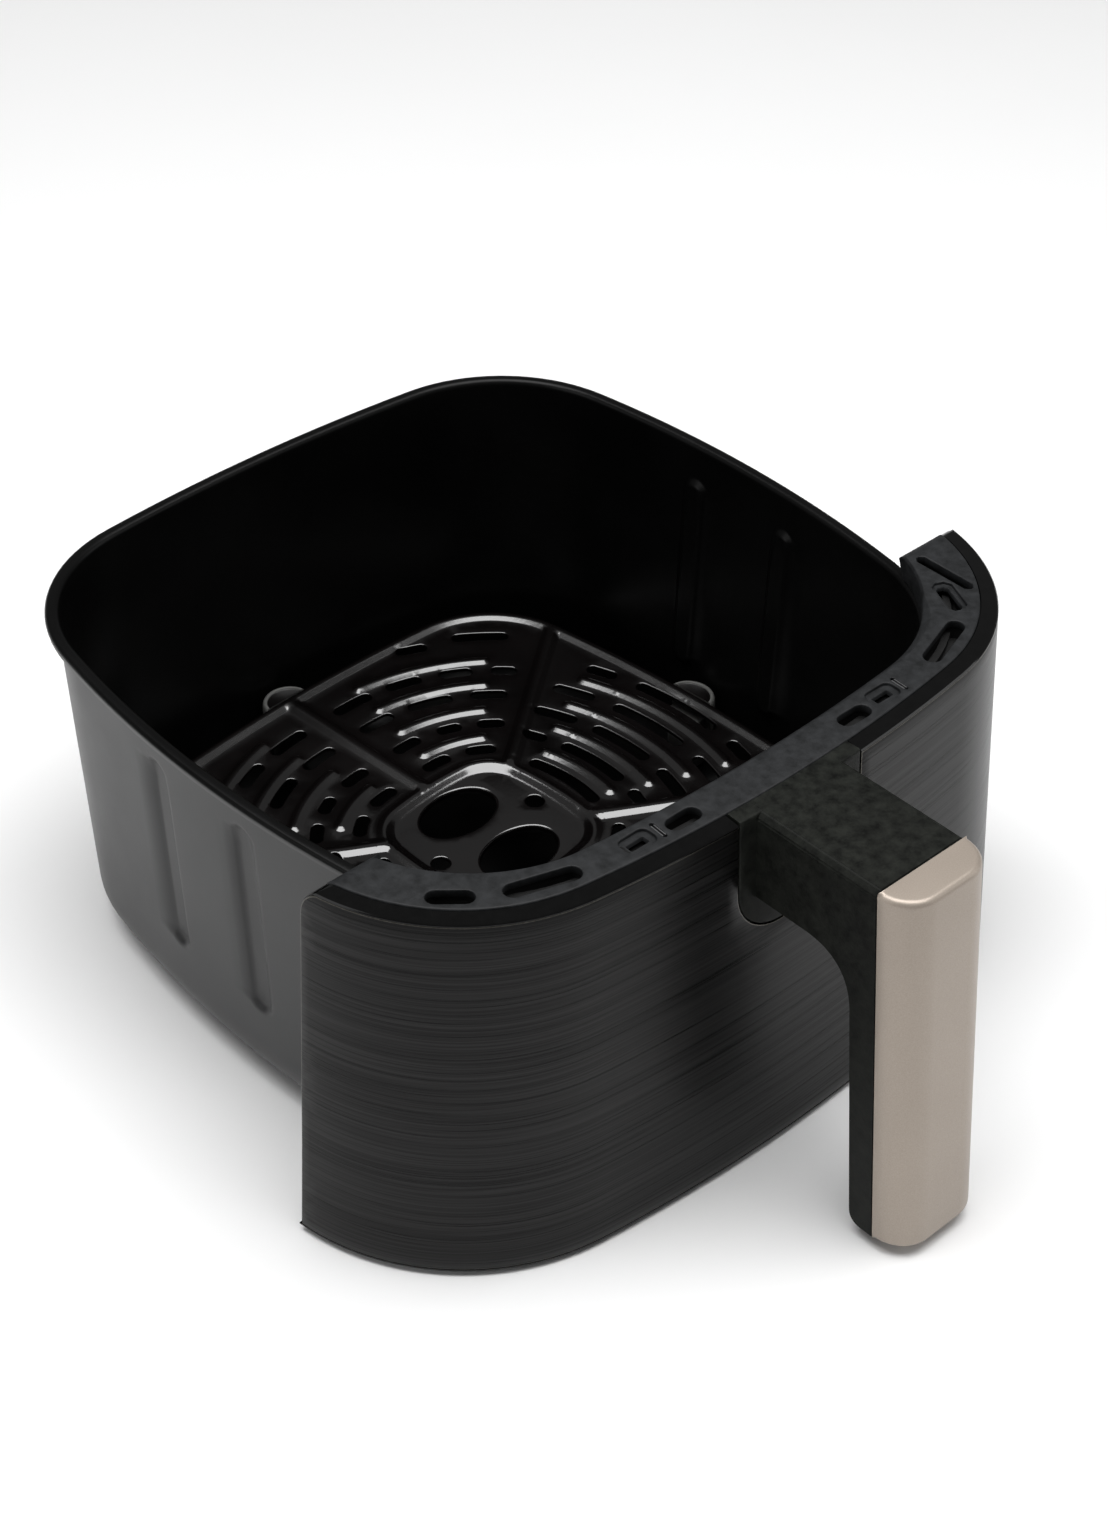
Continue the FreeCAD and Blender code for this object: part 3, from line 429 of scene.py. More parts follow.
def make_pan(materials):
    def step(x, y):
        if abs(x) > 100 and abs(abs(y) - GROOVE_Y) < 7.5:
            return 0.7
        return 4.0

    stations = walk(RIM_ARCS, 4.0, step)
    inner, outer = pan_profile()
    sheet = Sheet()
    rings = []
    for offset, z, pressed in inner + outer:
        points = []
        for x, y, nx, ny in stations:
            reach = offset - (groove(x, y, z) if pressed else 0.0)
            points.append(metres(x + nx * reach, y + ny * reach, z))
        rings.append(sheet.ring(points))
    # the inner rings take the darker copy of the coating as painted shade, the outer rings the coating
    # itself
    sheet.tube(rings, (0, 1), len(inner) - 3)
    piece = sheet.build("pan_body", materials, 50)
    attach(piece, "drawer")
    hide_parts("pan")


# ======================= crisper plate =======================

CORNER_CENTRE = (10.0, 6.3)
CORNER_SLOTS = [
    (32.1, [(45, 64), (75, 95)]),
    (46.4, [(41, 53), (60, 71), (80, 94)]),
    (63.1, [(41, 53), (59, 74), (80, 93)]),
    (77.2, [(39, 46), (51, 60), (65, 75), (80, 92)]),
    (95.0, [(60, 67)]),
    (98.0, [(42, 54)]),
]
RIDGE_CENTRE = (8.7, 0.5)
CORNER_RIDGES = [(44.2, 52, 88), (59.5, 50, 85), (74.2, 48.5, 83.5), (88.3, 48, 82.5)]
SIDE_CENTRE = (-15.0, 0.0)
SIDE_SLOTS = [
    (53.2, [(-17, 17)]),
    (66.8, [(-25.0, -17.5), (-12, 12), (17.5, 25.0)]),
    (81.0, [(-25.5, -14), (-9, 9), (14, 25.5)]),
    (95.5, [(-24, -14.5), (-9.5, 9.5), (14.5, 24)]),
    (110.7, [(-20, -14), (-9.5, 9.5), (14, 20)]),
]
SIDE_RIDGES = [(60.2, -17, 17), (74.0, -19, 19), (88.0, -20, 20), (103.0, -20.5, 20.5)]
SLOT_WIDTH = 4.4
RIDGE_HALF, RIDGE_HIGH, RIDGE_FLANK = 2.6, 1.05, 1.8
RIB_HALF, RIB_HIGH, RIB_FLANK, RIB_ANGLE, RIB_RISE = 3.3, 1.25, 2.1, 33.0, 0.15
SLOT_EDGE, FINGER_EDGE, ROUND_EDGE = 0.45, 1.0, 0.6
FINGER_HOLE, ROUND_HOLE, HOLES_BACK = (14.4, 15.2, 10.4), (22.5, 3.2), 0.6
HUB_SLOPE, HUB_TOP_R, HUB_FOOT_R = math.radians(33), 1.8, 0.9
HUB_CREST, HUB_OUT, HUB_FALL = 0.4, 3.0, 1.8


def ridges():
    """(centre, radius, start, end) of the ridges' crests in the first quadrant, tip centre to tip centre."""
    result = []
    for radius, start, end in CORNER_RIDGES:
        trim = math.degrees(RIDGE_HALF / radius)
        result.append((RIDGE_CENTRE, radius, start + trim, end - trim))
    for radius, start, end in SIDE_RIDGES:
        result.append((SIDE_CENTRE, radius, -10.0, end - math.degrees(RIDGE_HALF / radius)))
    return result


RIDGES = ridges()


def bent_slot(centre, radius, start, end, width, count=5):
    """A counterclockwise round-ended slot bent along an arc; its tips are at the angles."""
    half = width / 2
    trim = math.degrees(math.asin(half / radius))
    a, b = start + trim, end - trim
    if b <= a:
        a = b = (a + b) / 2
    along = max(2, int(math.radians(b - a) * radius / 2.0))
    loop = arc_points(*centre, radius + half, a, b, along)
    loop += arc_points(*polar(centre, radius, b), half, b, b + 180, count * 2)[1:-1]
    loop += arc_points(*centre, radius - half, b, a, along)
    loop += arc_points(*polar(centre, radius, a), half, a + 180, a + 360, count * 2)[1:-1]
    clean = [loop[0]]
    for point in loop[1:]:
        if math.dist(point, clean[-1]) > 0.05:
            clean.append(point)
    return clean


def four_ways(loop):
    """A loop of the first quadrant and its three mirror images, all counterclockwise."""
    down = [(x, -y) for x, y in reversed(loop)]
    return [loop, down, flipped(loop), flipped(down)]


def round_hole(x, y, half_x, half_y, count):
    turns = [math.tau * i / count for i in range(count)]
    return [(x + half_x * math.cos(a), y + half_y * math.sin(a)) for a in turns]


def plate_holes():
    """(loop, edge radius) of each hole."""
    loops = []
    for radius, spans in CORNER_SLOTS:
        for start, end in spans:
            loops += four_ways(bent_slot(CORNER_CENTRE, radius, start, end, SLOT_WIDTH))
    for radius, spans in SIDE_SLOTS:
        for start, end in spans:
            loop = bent_slot(SIDE_CENTRE, radius, start, end, SLOT_WIDTH)
            loops += [loop, flipped(loop)]
    holes = [(loop, SLOT_EDGE) for loop in loops]
    place, half_x, half_y = FINGER_HOLE
    aside, radius = ROUND_HOLE
    for side in (-1, 1):
        holes.append((round_hole(0, side * place + HOLES_BACK, half_x, half_y, 48), FINGER_EDGE))
        holes.append((round_hole(side * aside, HOLES_BACK, radius, radius, 20), ROUND_EDGE))
    return holes


def arc_distance(x, y, centre, radius, start, end):
    dx, dy = x - centre[0], y - centre[1]
    angle = math.degrees(math.atan2(dy, dx))
    if start <= angle <= end:
        return abs(math.hypot(dx, dy) - radius)
    tip = math.radians(start if abs(angle - start) < abs(angle - end) else end)
    return math.hypot(dx - radius * math.cos(tip), dy - radius * math.sin(tip))


def ramp_between(t, soft=0.12):
    """0 below 0 and 1 above 1, straight between, with a short blend at both ends."""
    if t > 0.5:
        return 1.0 - ramp_between(1.0 - t, soft)
    if t <= -soft:
        return 0.0
    return t if t >= soft else (t + soft) ** 2 / (4 * soft)


def crown(distance, half, flank):
    """A pressed bead's height share: a flat top and straight flanks."""
    return ramp_between((half - distance) / flank)


def blend(a, b, reach=0.45):
    """The higher of two beads, with a small fillet where they meet."""
    gap = abs(a - b)
    if gap >= reach or min(a, b) <= 0:
        return max(a, b)
    return max(a, b) + (reach - gap) ** 2 / (4 * reach) * min(1.0, min(a, b) / 0.3)


def hub_profile(d):
    """Height across the hub's bead and wall; d is the distance outward from its outline."""
    if d > HUB_CREST:
        return HUB_BEAD * ramp_between((HUB_OUT - d) / HUB_FALL)
    x = HUB_CREST - d
    sine, drop = math.sin(HUB_SLOPE), 1 - math.cos(HUB_SLOPE)
    turn_x, turn_z = HUB_TOP_R * sine, HUB_TOP_R * drop
    foot_x, foot_z = HUB_FOOT_R * sine, HUB_FOOT_R * drop
    straight = (HUB_DEPTH + HUB_BEAD - turn_z - foot_z) / math.tan(HUB_SLOPE)
    if x < turn_x:
        return HUB_BEAD - HUB_TOP_R + math.sqrt(HUB_TOP_R * HUB_TOP_R - x * x)
    if x < turn_x + straight:
        return HUB_BEAD - turn_z - (x - turn_x) * math.tan(HUB_SLOPE)
    rest = turn_x + straight + foot_x - x
    if rest > 0:
        return -HUB_DEPTH + HUB_FOOT_R - math.sqrt(HUB_FOOT_R * HUB_FOOT_R - rest * rest)
    return -HUB_DEPTH


def plate_height(x, y):
    """Height of the plate's top over its flat level."""
    edge = offset_of(PLATE_ARCS, x, y)
    hub = offset_of(HUB_ARCS, x, y) if max(abs(x), abs(y)) < 36 else 20.0
    if hub < HUB_CREST:
        return hub_profile(hub)
    u, v = abs(x), abs(y)
    high = BEAD_HIGH * ramp_between((edge + BEAD_FOOT) / (BEAD_FOOT - BEAD_TOP))
    high = max(high, hub_profile(hub))
    for centre, radius, start, end in RIDGES:
        gap = arc_distance(u, v, centre, radius, start, end)
        if gap < RIDGE_HALF + 1:
            high = blend(high, RIDGE_HIGH * crown(gap, RIDGE_HALF, RIDGE_FLANK))
    turn = math.radians(RIB_ANGLE)
    across = abs(v * math.cos(turn) - u * math.sin(turn))
    rib = crown(min(u, across), RIB_HALF, RIB_FLANK)
    return blend(high, min(RIB_HIGH * rib, HUB_BEAD + RIB_RISE * (hub - HUB_CREST)))


def plate_points(holes):
    """Extra points that follow the ridges, ribs, bead and hub, then a plain grid."""
    cell = 1.0
    taken = {}

    def add(x, y, gap, points):
        if offset_of(PLATE_ARCS, x, y) > -1.6:
            return
        key = (round(x / cell), round(y / cell))
        for i in range(key[0] - 3, key[0] + 4):
            for j in range(key[1] - 3, key[1] + 4):
                for px, py in taken.get((i, j), ()):
                    if math.hypot(px - x, py - y) < gap:
                        return
        taken.setdefault(key, []).append((x, y))
        points.append((x, y))

    def strip(half, flank):
        return [side * d for side in (-1, 1) for d in (half + 0.25, half - 0.25, half - flank + 0.25,
                                                       half - flank - 0.25)]

    points, scrap = [], []
    for loop, edge in holes:
        for (x, y), normal in zip(loop, loop_normals(loop)):
            add(x + normal.x * edge, y + normal.y * edge, 0.0, scrap)
    blocked = [grown([loop], edge + 0.25)[0] for loop, edge in holes]
    quarter = []
    for centre, radius, start, end in RIDGES:
        lines = strip(RIDGE_HALF, RIDGE_FLANK)
        for grow in lines:
            count = int(math.radians(end - start) * radius / 1.4)
            quarter += arc_points(*centre, radius + grow, start, end, count)
        for angle, side in ((start, -1), (end, 1)):
            tip = polar(centre, radius, angle)
            for ring in lines[4:]:
                quarter += arc_points(*tip, ring, angle, angle + side * 180, 8)[1:-1]
    wanted = [(i * x, j * y) for x, y in quarter for i in (1, -1) for j in (1, -1)]
    for angle in (90, -90, RIB_ANGLE, -RIB_ANGLE, 180 - RIB_ANGLE, RIB_ANGLE - 180):
        c, s = math.cos(math.radians(angle)), math.sin(math.radians(angle))
        for across in strip(RIB_HALF, RIB_FLANK):
            for i in range(56):
                along = 30 + 1.6 * i
                wanted.append((along * c - across * s, along * s + across * c))
    for arcs, offsets in ((PLATE_ARCS, (-4.85, -4.35, -2.95, -2.45)),
                          (HUB_ARCS, (5.1, 4.6, 3.25, 2.75, 1.45, 0.95, 0.3, -0.4, -1.0, -1.6, -2.2, -3.0,
                                      -3.4, -3.7, -4.0))):
        for x, y, nx, ny in walk(arcs, 1.5):
            wanted += [(x + nx * d, y + ny * d) for d in offsets]
    for x, y in wanted:
        if clear_of(x, y, blocked):
            add(x, y, 0.42, points)
    spacing = 3.0
    for i in range(-36, 37):
        for j in range(-36, 37):
            x, y = i * spacing, j * spacing
            if clear_of(x, y, blocked):
                add(x, y, 1.6, points)
    return points


def make_crisper_plate(materials):
    holes = plate_holes()
    outer = [(x, y) for x, y, _, _ in walk(PLATE_ARCS, 2.2)]
    crest, skirt = BEAD_HIGH, SKIRT_Z - PLATE_Z

    def steps(number, point):
        if number == 0:
            return [(1.2, crest), (0.7, crest - 0.1), (0.3, crest - 0.32), (0.07, crest - 0.7),
                    (0.0, crest - 1.2), (0.0, skirt + 0.3), (0.25, skirt), (0.8, skirt),
                    (1.1, skirt + 0.4), (1.5, crest - PLATE_THICK - 0.4)]
        edge = holes[number - 1][1]
        high = plate_height(*point)
        low = high - PLATE_THICK
        hem = 1.1 if edge == FINGER_EDGE else 0.0
        column = []
        for i in range(5):
            angle = math.pi / 8 * i
            column.append((edge * (1 - math.sin(angle)), high - edge * (1 - math.cos(angle))))
        return column + [(0.0, low + 0.3 - hem), (0.1, low + 0.1 - hem), (0.3, low - hem),
                         (0.6, low - hem), (0.75, low)]

    turn = math.radians(PLATE_TURN)
    c, s = math.cos(turn), math.sin(turn)

    def place(x, y, z):
        return metres(c * x - s * y, s * x + c * y, PLATE_Z + z)

    loops = [loop for loop, edge in holes]
    top = [(x, y, plate_height(x, y)) for x, y in plate_points(holes)]
    below = []
    blocked = grown(loops, 1.2)
    for x, y in [(2.5 * i, 2.5 * j) for i in range(-42, 43) for j in range(-42, 43)]:
        if offset_of(PLATE_ARCS, x, y) < -4.0 and clear_of(x, y, blocked):
            below.append((x, y, plate_height(x, y) - PLATE_THICK))
    piece = slab("crisper_tray", outer, loops, steps, place, materials, top, below, angle=75)
    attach(piece, "crisper")
    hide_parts("crisper_plate")


# ======================= front panel =======================

class PanelPath:
    """The panel's outline by arc length from its middle, positive towards +X."""

    def __init__(self):
        self.arcs = []
        here = 0.0
        for arc in PANEL_ARCS[9:]:
            length = arc[2] * (arc[4] - arc[3])
            self.arcs.append((here, length, arc))
            here += length
        low, high = 0.0, here
        while high - low > 1e-6:
            mid = (low + high) / 2
            if self.at(mid)[1] < PANEL_END_Y:
                low = mid
            else:
                high = mid
        self.end = low

    def at(self, s):
        """(x, y, nx, ny) at arc length s."""
        side = -1.0 if s < 0 else 1.0
        s = abs(s)
        for start, length, (cx, cy, radius, a, _) in self.arcs:
            if s <= start + length or start == self.arcs[-1][0]:
                angle = a + (s - start) / radius
                nx, ny = math.cos(angle), math.sin(angle)
                return side * (cx + radius * nx), cy + radius * ny, side * nx, ny

    def point(self, s, z, depth):
        """A point on the flared face, moved out by depth."""
        x, y, nx, ny = self.at(s)
        reach = PANEL_FLARE * (PANEL_TOP - z) + depth
        return metres(x + nx * reach, y + ny * reach, z)


PATH = PanelPath()


def spaced(start, end, step):
    count = max(1, int(math.ceil(abs(end - start) / step)))
    return [start + (end - start) * i / count for i in range(count + 1)]


def notch(half, low, radius, top):
    """The U of the flange, from the top on the right down and up to the top on the left."""
    points = [(half, top)]
    points += arc_points(half - radius, low + radius, radius, 0, -90, 12)
    points += arc_points(radius - half, low + radius, radius, -90, -180, 12)
    points.append((-half, top))
    return points


def panel_loop(z0, z1, grow):
    """The unrolled sheet: bottom edge, right end, top edges with the notch, left end."""
    end = PATH.end
    r = PANEL_END_R
    loop = [(s, z0) for s in spaced(-end, end, 3.0)]
    loop += [(end, z) for z in spaced(z0, PANEL_TOP - r, 8.0)[1:-1]]
    corner = [p for p in arc_points(end - r, PANEL_TOP - r, r, 0, 90, 12) if p[1] < z1 - 0.02]
    loop += corner
    join = math.sqrt(max(0.0, r * r - (z1 - PANEL_TOP + r) ** 2))
    loop += [(s, z1) for s in spaced(end - r + join, FLANGE_HALF + grow, 3.0)]
    loop += notch(FLANGE_HALF + grow, FLANGE_BOTTOM - grow, FLANGE_R + grow, z1)[1:-1]
    loop += [(s, z1) for s in spaced(-FLANGE_HALF - grow, -(end - r + join), 3.0)]
    loop += [(-s, z) for s, z in reversed(corner)]
    loop += [(-end, z) for z in spaced(PANEL_TOP - r, z0, 8.0)[1:-1]]
    return loop


def panel_inner_points(z0, z1):
    """Interior points that keep the bent sheet smooth."""
    points = []
    for s in spaced(-PATH.end + 3, PATH.end - 3, 3.0):
        for z in spaced(z0 + 4, z1 - 4, 9.0):
            if abs(s) < FLANGE_HALF + 2 and z > FLANGE_BOTTOM - 3:
                continue
            if abs(s) > PATH.end - PANEL_END_R and z > PANEL_TOP - PANEL_END_R:
                continue
            points.append((s, z))
    return points


def make_front_skin(materials):
    loop = panel_loop(SKIN_Z[0], SKIN_Z[1], FLANGE_GAP)
    edge = 0.35

    def steps(*_):
        return [(edge, 0.0), (edge * 0.3, -edge * 0.3), (0.0, -edge), (0.0, -SKIN)]

    inner = [(s, z, 0.0) for s, z in panel_inner_points(*SKIN_Z)]
    back = [(s, z, -SKIN) for s, z, _ in inner]
    # the edge walls and their rounding take the lighter edge metal, partly bare cut edge and partly a
    # painted highlight line
    piece = slab("front_sheet", loop, [], steps, PATH.point, materials, inner, back, angle=40, wall_slot=1)
    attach(piece, "drawer")
    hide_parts("front_skin")


def end_height(y, end_y, radius, top):
    """Height allowed by the rounded top corner at the panel's or bracket's end."""
    beyond = y - (end_y - radius)
    if beyond <= 0:
        return top
    return top - radius + math.sqrt(max(0.0, radius * radius - beyond * beyond))


# ======================= top bracket =======================

def bracket_loop():
    """Outer edge along the shell, right end, inner edge along the pan, left end."""
    stop = BRACKET_END_Y - 1.7
    outer = []
    for x, y, nx, ny in walk(PANEL_ARCS[6:], 2.0):
        px, py = x - nx * (BAND + BRACKET_GAP), y - ny * (BAND + BRACKET_GAP)
        if py < stop:
            outer.append((px, py))
    inner = []
    for x, y, nx, ny in walk(RIM_ARCS[6:], 2.0):
        px, py = x + nx * BRACKET_INNER, y + ny * BRACKET_INNER
        if py < stop:
            inner.append((px, py))
    right = arc_points(outer[-1][0] - 1.6, stop, 1.6, 0, 90, 4)[1:]
    right += arc_points(inner[-1][0] + 1.6, stop, 1.6, 90, 180, 4)[:-1]
    left = [(-x, y) for x, y in reversed(right)]
    return outer + right + list(reversed(inner)) + left, set(inner)


def bracket_openings():
    """The plain slots: one at the right end, one at the left, ovals and long slots on both sides."""
    holes = [cut_slot(EDGE_SLOT, EDGE_CUT), capsule_loop(LEFT_SLOT)]
    for place in (OVAL_SLOT, LONG_SLOT):
        holes += [capsule_loop(place), flipped(capsule_loop(place))]
    return holes


def bracket_chamfer(x, y):
    """Width of the slope along the inner edge; it dies out towards the right end."""
    if x < 60:
        return BRACKET_CHAMFER
    return BRACKET_CHAMFER - (BRACKET_CHAMFER - 0.6) * smooth((y + 104) / 9)


def make_top_bracket(materials):
    loop, inner = bracket_loop()
    steps_in = [cut_slot(RIGHT_STEP, STEP_CUT)]
    for x, y, length, width in WINDOWS:
        u, v = length / 2, width / 2
        steps_in.append(rounded_box(x - u, x + u, y - v, y + v, WINDOW_R))
    narrow = [capsule_loop(place, count=3) for place in CLIP_SLOTS]
    holes = steps_in + narrow + bracket_openings()
    bottom = TOP_Z - BRACKET_THICK

    def steps(number, point):
        if number == 0 and point in inner:
            size, low = bracket_chamfer(*point), BRACKET_LIP_Z
            drop = TOP_Z - size
            return [(size + 0.35, TOP_Z), (size + 0.1, TOP_Z - 0.04), (size - 0.12, TOP_Z - 0.2),
                    (0.45, drop + 0.3), (0.12, drop - 0.15), (0.0, drop - 0.6), (0.0, low + 0.4),
                    (0.12, low + 0.12), (0.4, low), (1.3, low), (1.6, low + 0.3), (1.6, bottom)]
        radius = 0.6 if number == 0 else 0.4
        if len(steps_in) < number <= len(steps_in) + len(narrow):
            radius = 0.2
        rounded = round_steps(radius, TOP_Z, bottom, 4)[:5]
        if 0 < number <= len(steps_in):
            ledge, inset = TOP_Z - 1.3, 1.2 if number == 1 else 2.0
            return rounded + [(0.0, ledge + 0.2), (-0.2, ledge), (-inset, ledge),
                              (-inset - 0.2, ledge - 0.3), (-inset - 0.2, bottom),
                              (-inset - 0.1, bottom), (-inset, bottom)]
        return rounded + [(0.0, bottom + 0.3), (0.1, bottom + 0.1), (0.26, bottom)] + [
            (0.26 + 0.04 * i, bottom) for i in range(1, 5)]

    def place(u, v, z):
        limit = end_height(v, BRACKET_END_Y, BRACKET_END_R, TOP_Z)
        return metres(u, v, min(z, limit))

    blocked = grown(holes, 1.1)
    extra = []
    for i in range(-65, 66):
        for j in range(24):
            u, v = i * 2.0, BRACKET_END_Y - 1.4 - j * 2.3
            outside = offset_of(PANEL_ARCS, u, v) < -BAND - BRACKET_GAP - 1.5
            clear = offset_of(RIM_ARCS, u, v) > BRACKET_INNER + bracket_chamfer(u, v) + 1.0
            if outside and clear and clear_of(u, v, blocked):
                extra.append((u, v, TOP_Z))
    piece = slab("bracket_collar", loop, holes, steps, place, materials, extra, (), angle=40)
    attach(piece, "drawer")
    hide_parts("top_bracket")


def make_shade_pockets(materials):
    """Dark moulded pockets that close the bracket's slots from below: dark sheets put in as painted shade,
    so the slots read black down their depth.
    """
    wall, top, floor, base = 0.9, TOP_Z - BRACKET_THICK + 0.1, 127.0, 126.3
    sheet = Sheet()
    for loop in bracket_openings() + [cut_slot(RIGHT_STEP, STEP_CUT)]:
        rings = []
        for amount, z in ((0.5, floor), (0.5, top), (0.5 + wall, top), (0.5 + wall, base)):
            moved = grown([loop], amount)[0][0]
            rings.append(sheet.ring([metres(x, y, z) for x, y in moved]))
        sheet.tube(rings)
    piece = sheet.build("slot_shade_pockets", materials, 40)
    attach(piece, "drawer")


def make_clip_edges(materials):
    """The steel clip's two bright edges that show in each narrow slot."""
    thick, length, apart = 0.35, 5.4, 0.5
    sheet = Sheet()
    for x, y, _, _, angle in CLIP_SLOTS:
        turn = math.radians(angle)
        for side in (-apart, apart):
            place = (x - side * math.sin(turn), y + side * math.cos(turn), length, thick, angle)
            loop = capsule_loop(place, count=2)
            levels = (TOP_Z - BRACKET_THICK, TOP_Z - 0.2)
            sheet.tube([sheet.ring([metres(u, v, z) for u, v in loop]) for z in levels])
    piece = sheet.build("clip_edges", materials, 40)
    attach(piece, "drawer")


# ======================= bumpers =======================

BUMPER_R, BUMPER_REACH, BUMPER_BACK = 9.2, 7.85, 5.0
BUMPER_LEVELS = ((32.5, 0.70), (32.6, 0.735), (33.0, 0.75), (33.17, 0.78), (33.2, 0.82), (33.1, 0.88),
                 (32.7, 0.94), (32.0, 0.98), (31.0, 1.0), (25.0, 1.0), (19.0, 0.99), (15.0, 0.91),
                 (11.5, 0.79), (8.5, 0.58), (6.4, 0.33), (5.3, 0.17), (5.0, 0.1))
BLOCK_HALF = 7.0
BLOCK_LEVELS = ((25.9, 0.5), (25.75, 0.15), (25.4, 0.0), (6.0, 0.0), (5.3, 0.25), (5.0, 0.8))


def half_round():
    """The pad's plan outside the plate's edge as (out, across), a half disc."""
    centre = BUMPER_REACH - BUMPER_R
    low = math.degrees(math.acos(-centre / BUMPER_R))
    return arc_points(centre, 0, BUMPER_R, -low, low, 28) + [(0.0, w) for w in (6.0, 3.0, 0.0, -3.0, -6.0)]


def make_bumper(name, turn, reach, materials):
    """A silicone pad: a rimmed half disc beside the plate's skirt and a block under it."""
    angle = math.radians(turn + PLATE_TURN)
    c, s = math.cos(angle), math.sin(angle)

    def place(out, across, z):
        u = reach + out
        return metres(c * u - s * across, s * u + c * across, z)

    sheet = Sheet()
    rings = []
    for z, share in BUMPER_LEVELS:
        rings.append(sheet.ring([place(0.05 + out * share, across * (0.3 + 0.7 * share), z)
                                 for out, across in half_round()]))
    sheet.tube(rings, (1, 0), 1)
    rings = []
    for z, inset in BLOCK_LEVELS:
        loop = rounded_box(inset - BUMPER_BACK, 1.2 - inset, inset - BLOCK_HALF, BLOCK_HALF - inset, 1.5)
        rings.append(sheet.ring([place(out, across, z) for out, across in loop]))
    sheet.tube(rings)
    piece = sheet.build(name + "_pad", materials, 50)
    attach(piece, "crisper")
    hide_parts(name)


# ======================= handle =======================

def joint_y(z):
    return JOINT_Y - math.tan(LEAN) * (TOP_Z - z)


def make_handle_cover(materials):
    depth, corner, edge = 12.2, 11.5, 2.0
    half = HANDLE_HALF
    loop = [(-half, -0.05)]
    loop += arc_points(corner - half, corner - depth, corner, 180, 270, 14)
    loop += arc_points(half - corner, corner - depth, corner, 270, 360, 14)
    loop.append((half, -0.05))
    loop += [(u, -0.05) for u in spaced(half, -half, 4.0)[1:-1]]
    back = {p for p in loop if p[1] > -0.1}

    def steps(_, point):
        size = 0.15 if point in back else edge
        pairs = []
        for i in range(7):
            turn = math.pi / 2 * i / 6
            pairs.append((size * (1 - math.sin(turn)), TOP_Z - edge * (1 - math.cos(turn))))
        for z in spaced(TOP_Z - edge, GRIP_BOTTOM + edge, 20.0)[1:-1]:
            pairs.append((0.0, z))
        for i in range(7):
            turn = math.pi / 2 * i / 6
            pairs.append((size * (1 - math.cos(turn)), GRIP_BOTTOM + edge * (1 - math.sin(turn))))
        return pairs

    def place(u, v, z):
        return metres(u, joint_y(z) + v, z)

    piece = slab("grip_cap", loop, [], steps, place, materials, (), (), angle=50)
    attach(piece, "drawer")
    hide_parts("handle_cover")


def arm_loop():
    """Side view of arm and grip as (y, z), counterclockwise seen from +X."""
    root = ARM_ROOT
    points = [(root, TOP_Z), (joint_y(TOP_Z), TOP_Z), (joint_y(GRIP_BOTTOM), GRIP_BOTTOM)]
    rear_y = -182.9
    r = 5.0
    points += arc_points(rear_y - r, GRIP_BOTTOM + r, r, 270, 360, 6)
    start, end = Vector((-175.2, 86.0)), Vector((-156.5, ARM_UNDER))
    bend = Vector((-173.2, ARM_UNDER))
    for i in range(17):
        t = i / 16
        p = start * (1 - t) ** 2 + bend * 2 * t * (1 - t) + end * t * t
        points.append((p.x, p.y))
    points.append((root, ARM_UNDER))
    return points


def make_handle_arm(materials):
    loop = arm_loop()
    mesh = bpy.data.meshes.new("handle_arm")
    work = bmesh.new()
    left = [work.verts.new(metres(-HANDLE_HALF, y, z)) for y, z in loop]
    right = [work.verts.new(metres(HANDLE_HALF, y, z)) for y, z in loop]
    work.faces.new(left)
    work.faces.new(list(reversed(right)))
    count = len(loop)
    for i in range(count):
        j = (i + 1) % count
        work.faces.new((left[j], left[i], right[i], right[j]))
    bmesh.ops.recalc_face_normals(work, faces=work.faces)
    work.edges.ensure_lookup_table()
    top = [e for e in work.edges if all(abs(v.co.z - TOP_Z * MM) < 1e-7 for v in e.verts)
           and abs(e.verts[0].co.x - e.verts[1].co.x) < 1e-7]
    bmesh.ops.bevel(work, geom=top, offset=ARM_CHAMFER * MM, segments=1, affect="EDGES", clamp_overlap=True)
    sides = []
    for e in work.edges:
        if len(e.link_faces) != 2 or e.calc_face_angle() < math.radians(25):
            continue
        if all(v.co.y > (ARM_ROOT - 0.1) * MM for v in e.verts):
            continue
        sides.append(e)
    bmesh.ops.bevel(work, geom=sides, offset=ARM_EDGE * MM, segments=3, affect="EDGES", clamp_overlap=True)
    work.to_mesh(mesh)
    work.free()
    for material in materials:
        mesh.materials.append(material)
    piece = finish_mesh("handle_arm", mesh, 30)
    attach(piece, "drawer")
    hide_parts("handle_body")


def make_flange(materials):
    top = TOP_Z - 0.05
    loop = list(reversed(notch(FLANGE_HALF, FLANGE_BOTTOM, FLANGE_R, top)))
    loop += [(s, top) for s in spaced(FLANGE_HALF, -FLANGE_HALF, 4.0)[1:-1]]

    def steps(*_):
        return round_steps(0.6, 0.0, -FLANGE_DEPTH, 3)[:4] + [(0.0, -FLANGE_DEPTH)]

    def place(s, z, depth):
        if z > PANEL_TOP:
            x, y, nx, ny = PATH.at(s)
            return metres(x + nx * depth * BAND / FLANGE_DEPTH, y + ny * depth * BAND / FLANGE_DEPTH, z)
        share = smooth((z - 129.0) / 3.4)
        return PATH.point(s, z, depth * (1 + share * (BAND / FLANGE_DEPTH - 1)))

    extra = [(s, z, 0.0) for s in spaced(-22, 22, 4.0) for z in spaced(96, 132, 6.0)
             if not (abs(s) > 14 and z < 108)]
    piece = slab("handle_flange", loop, [], steps, place, materials, extra, (), angle=40)
    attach(piece, "drawer")


# ======================= materials =======================

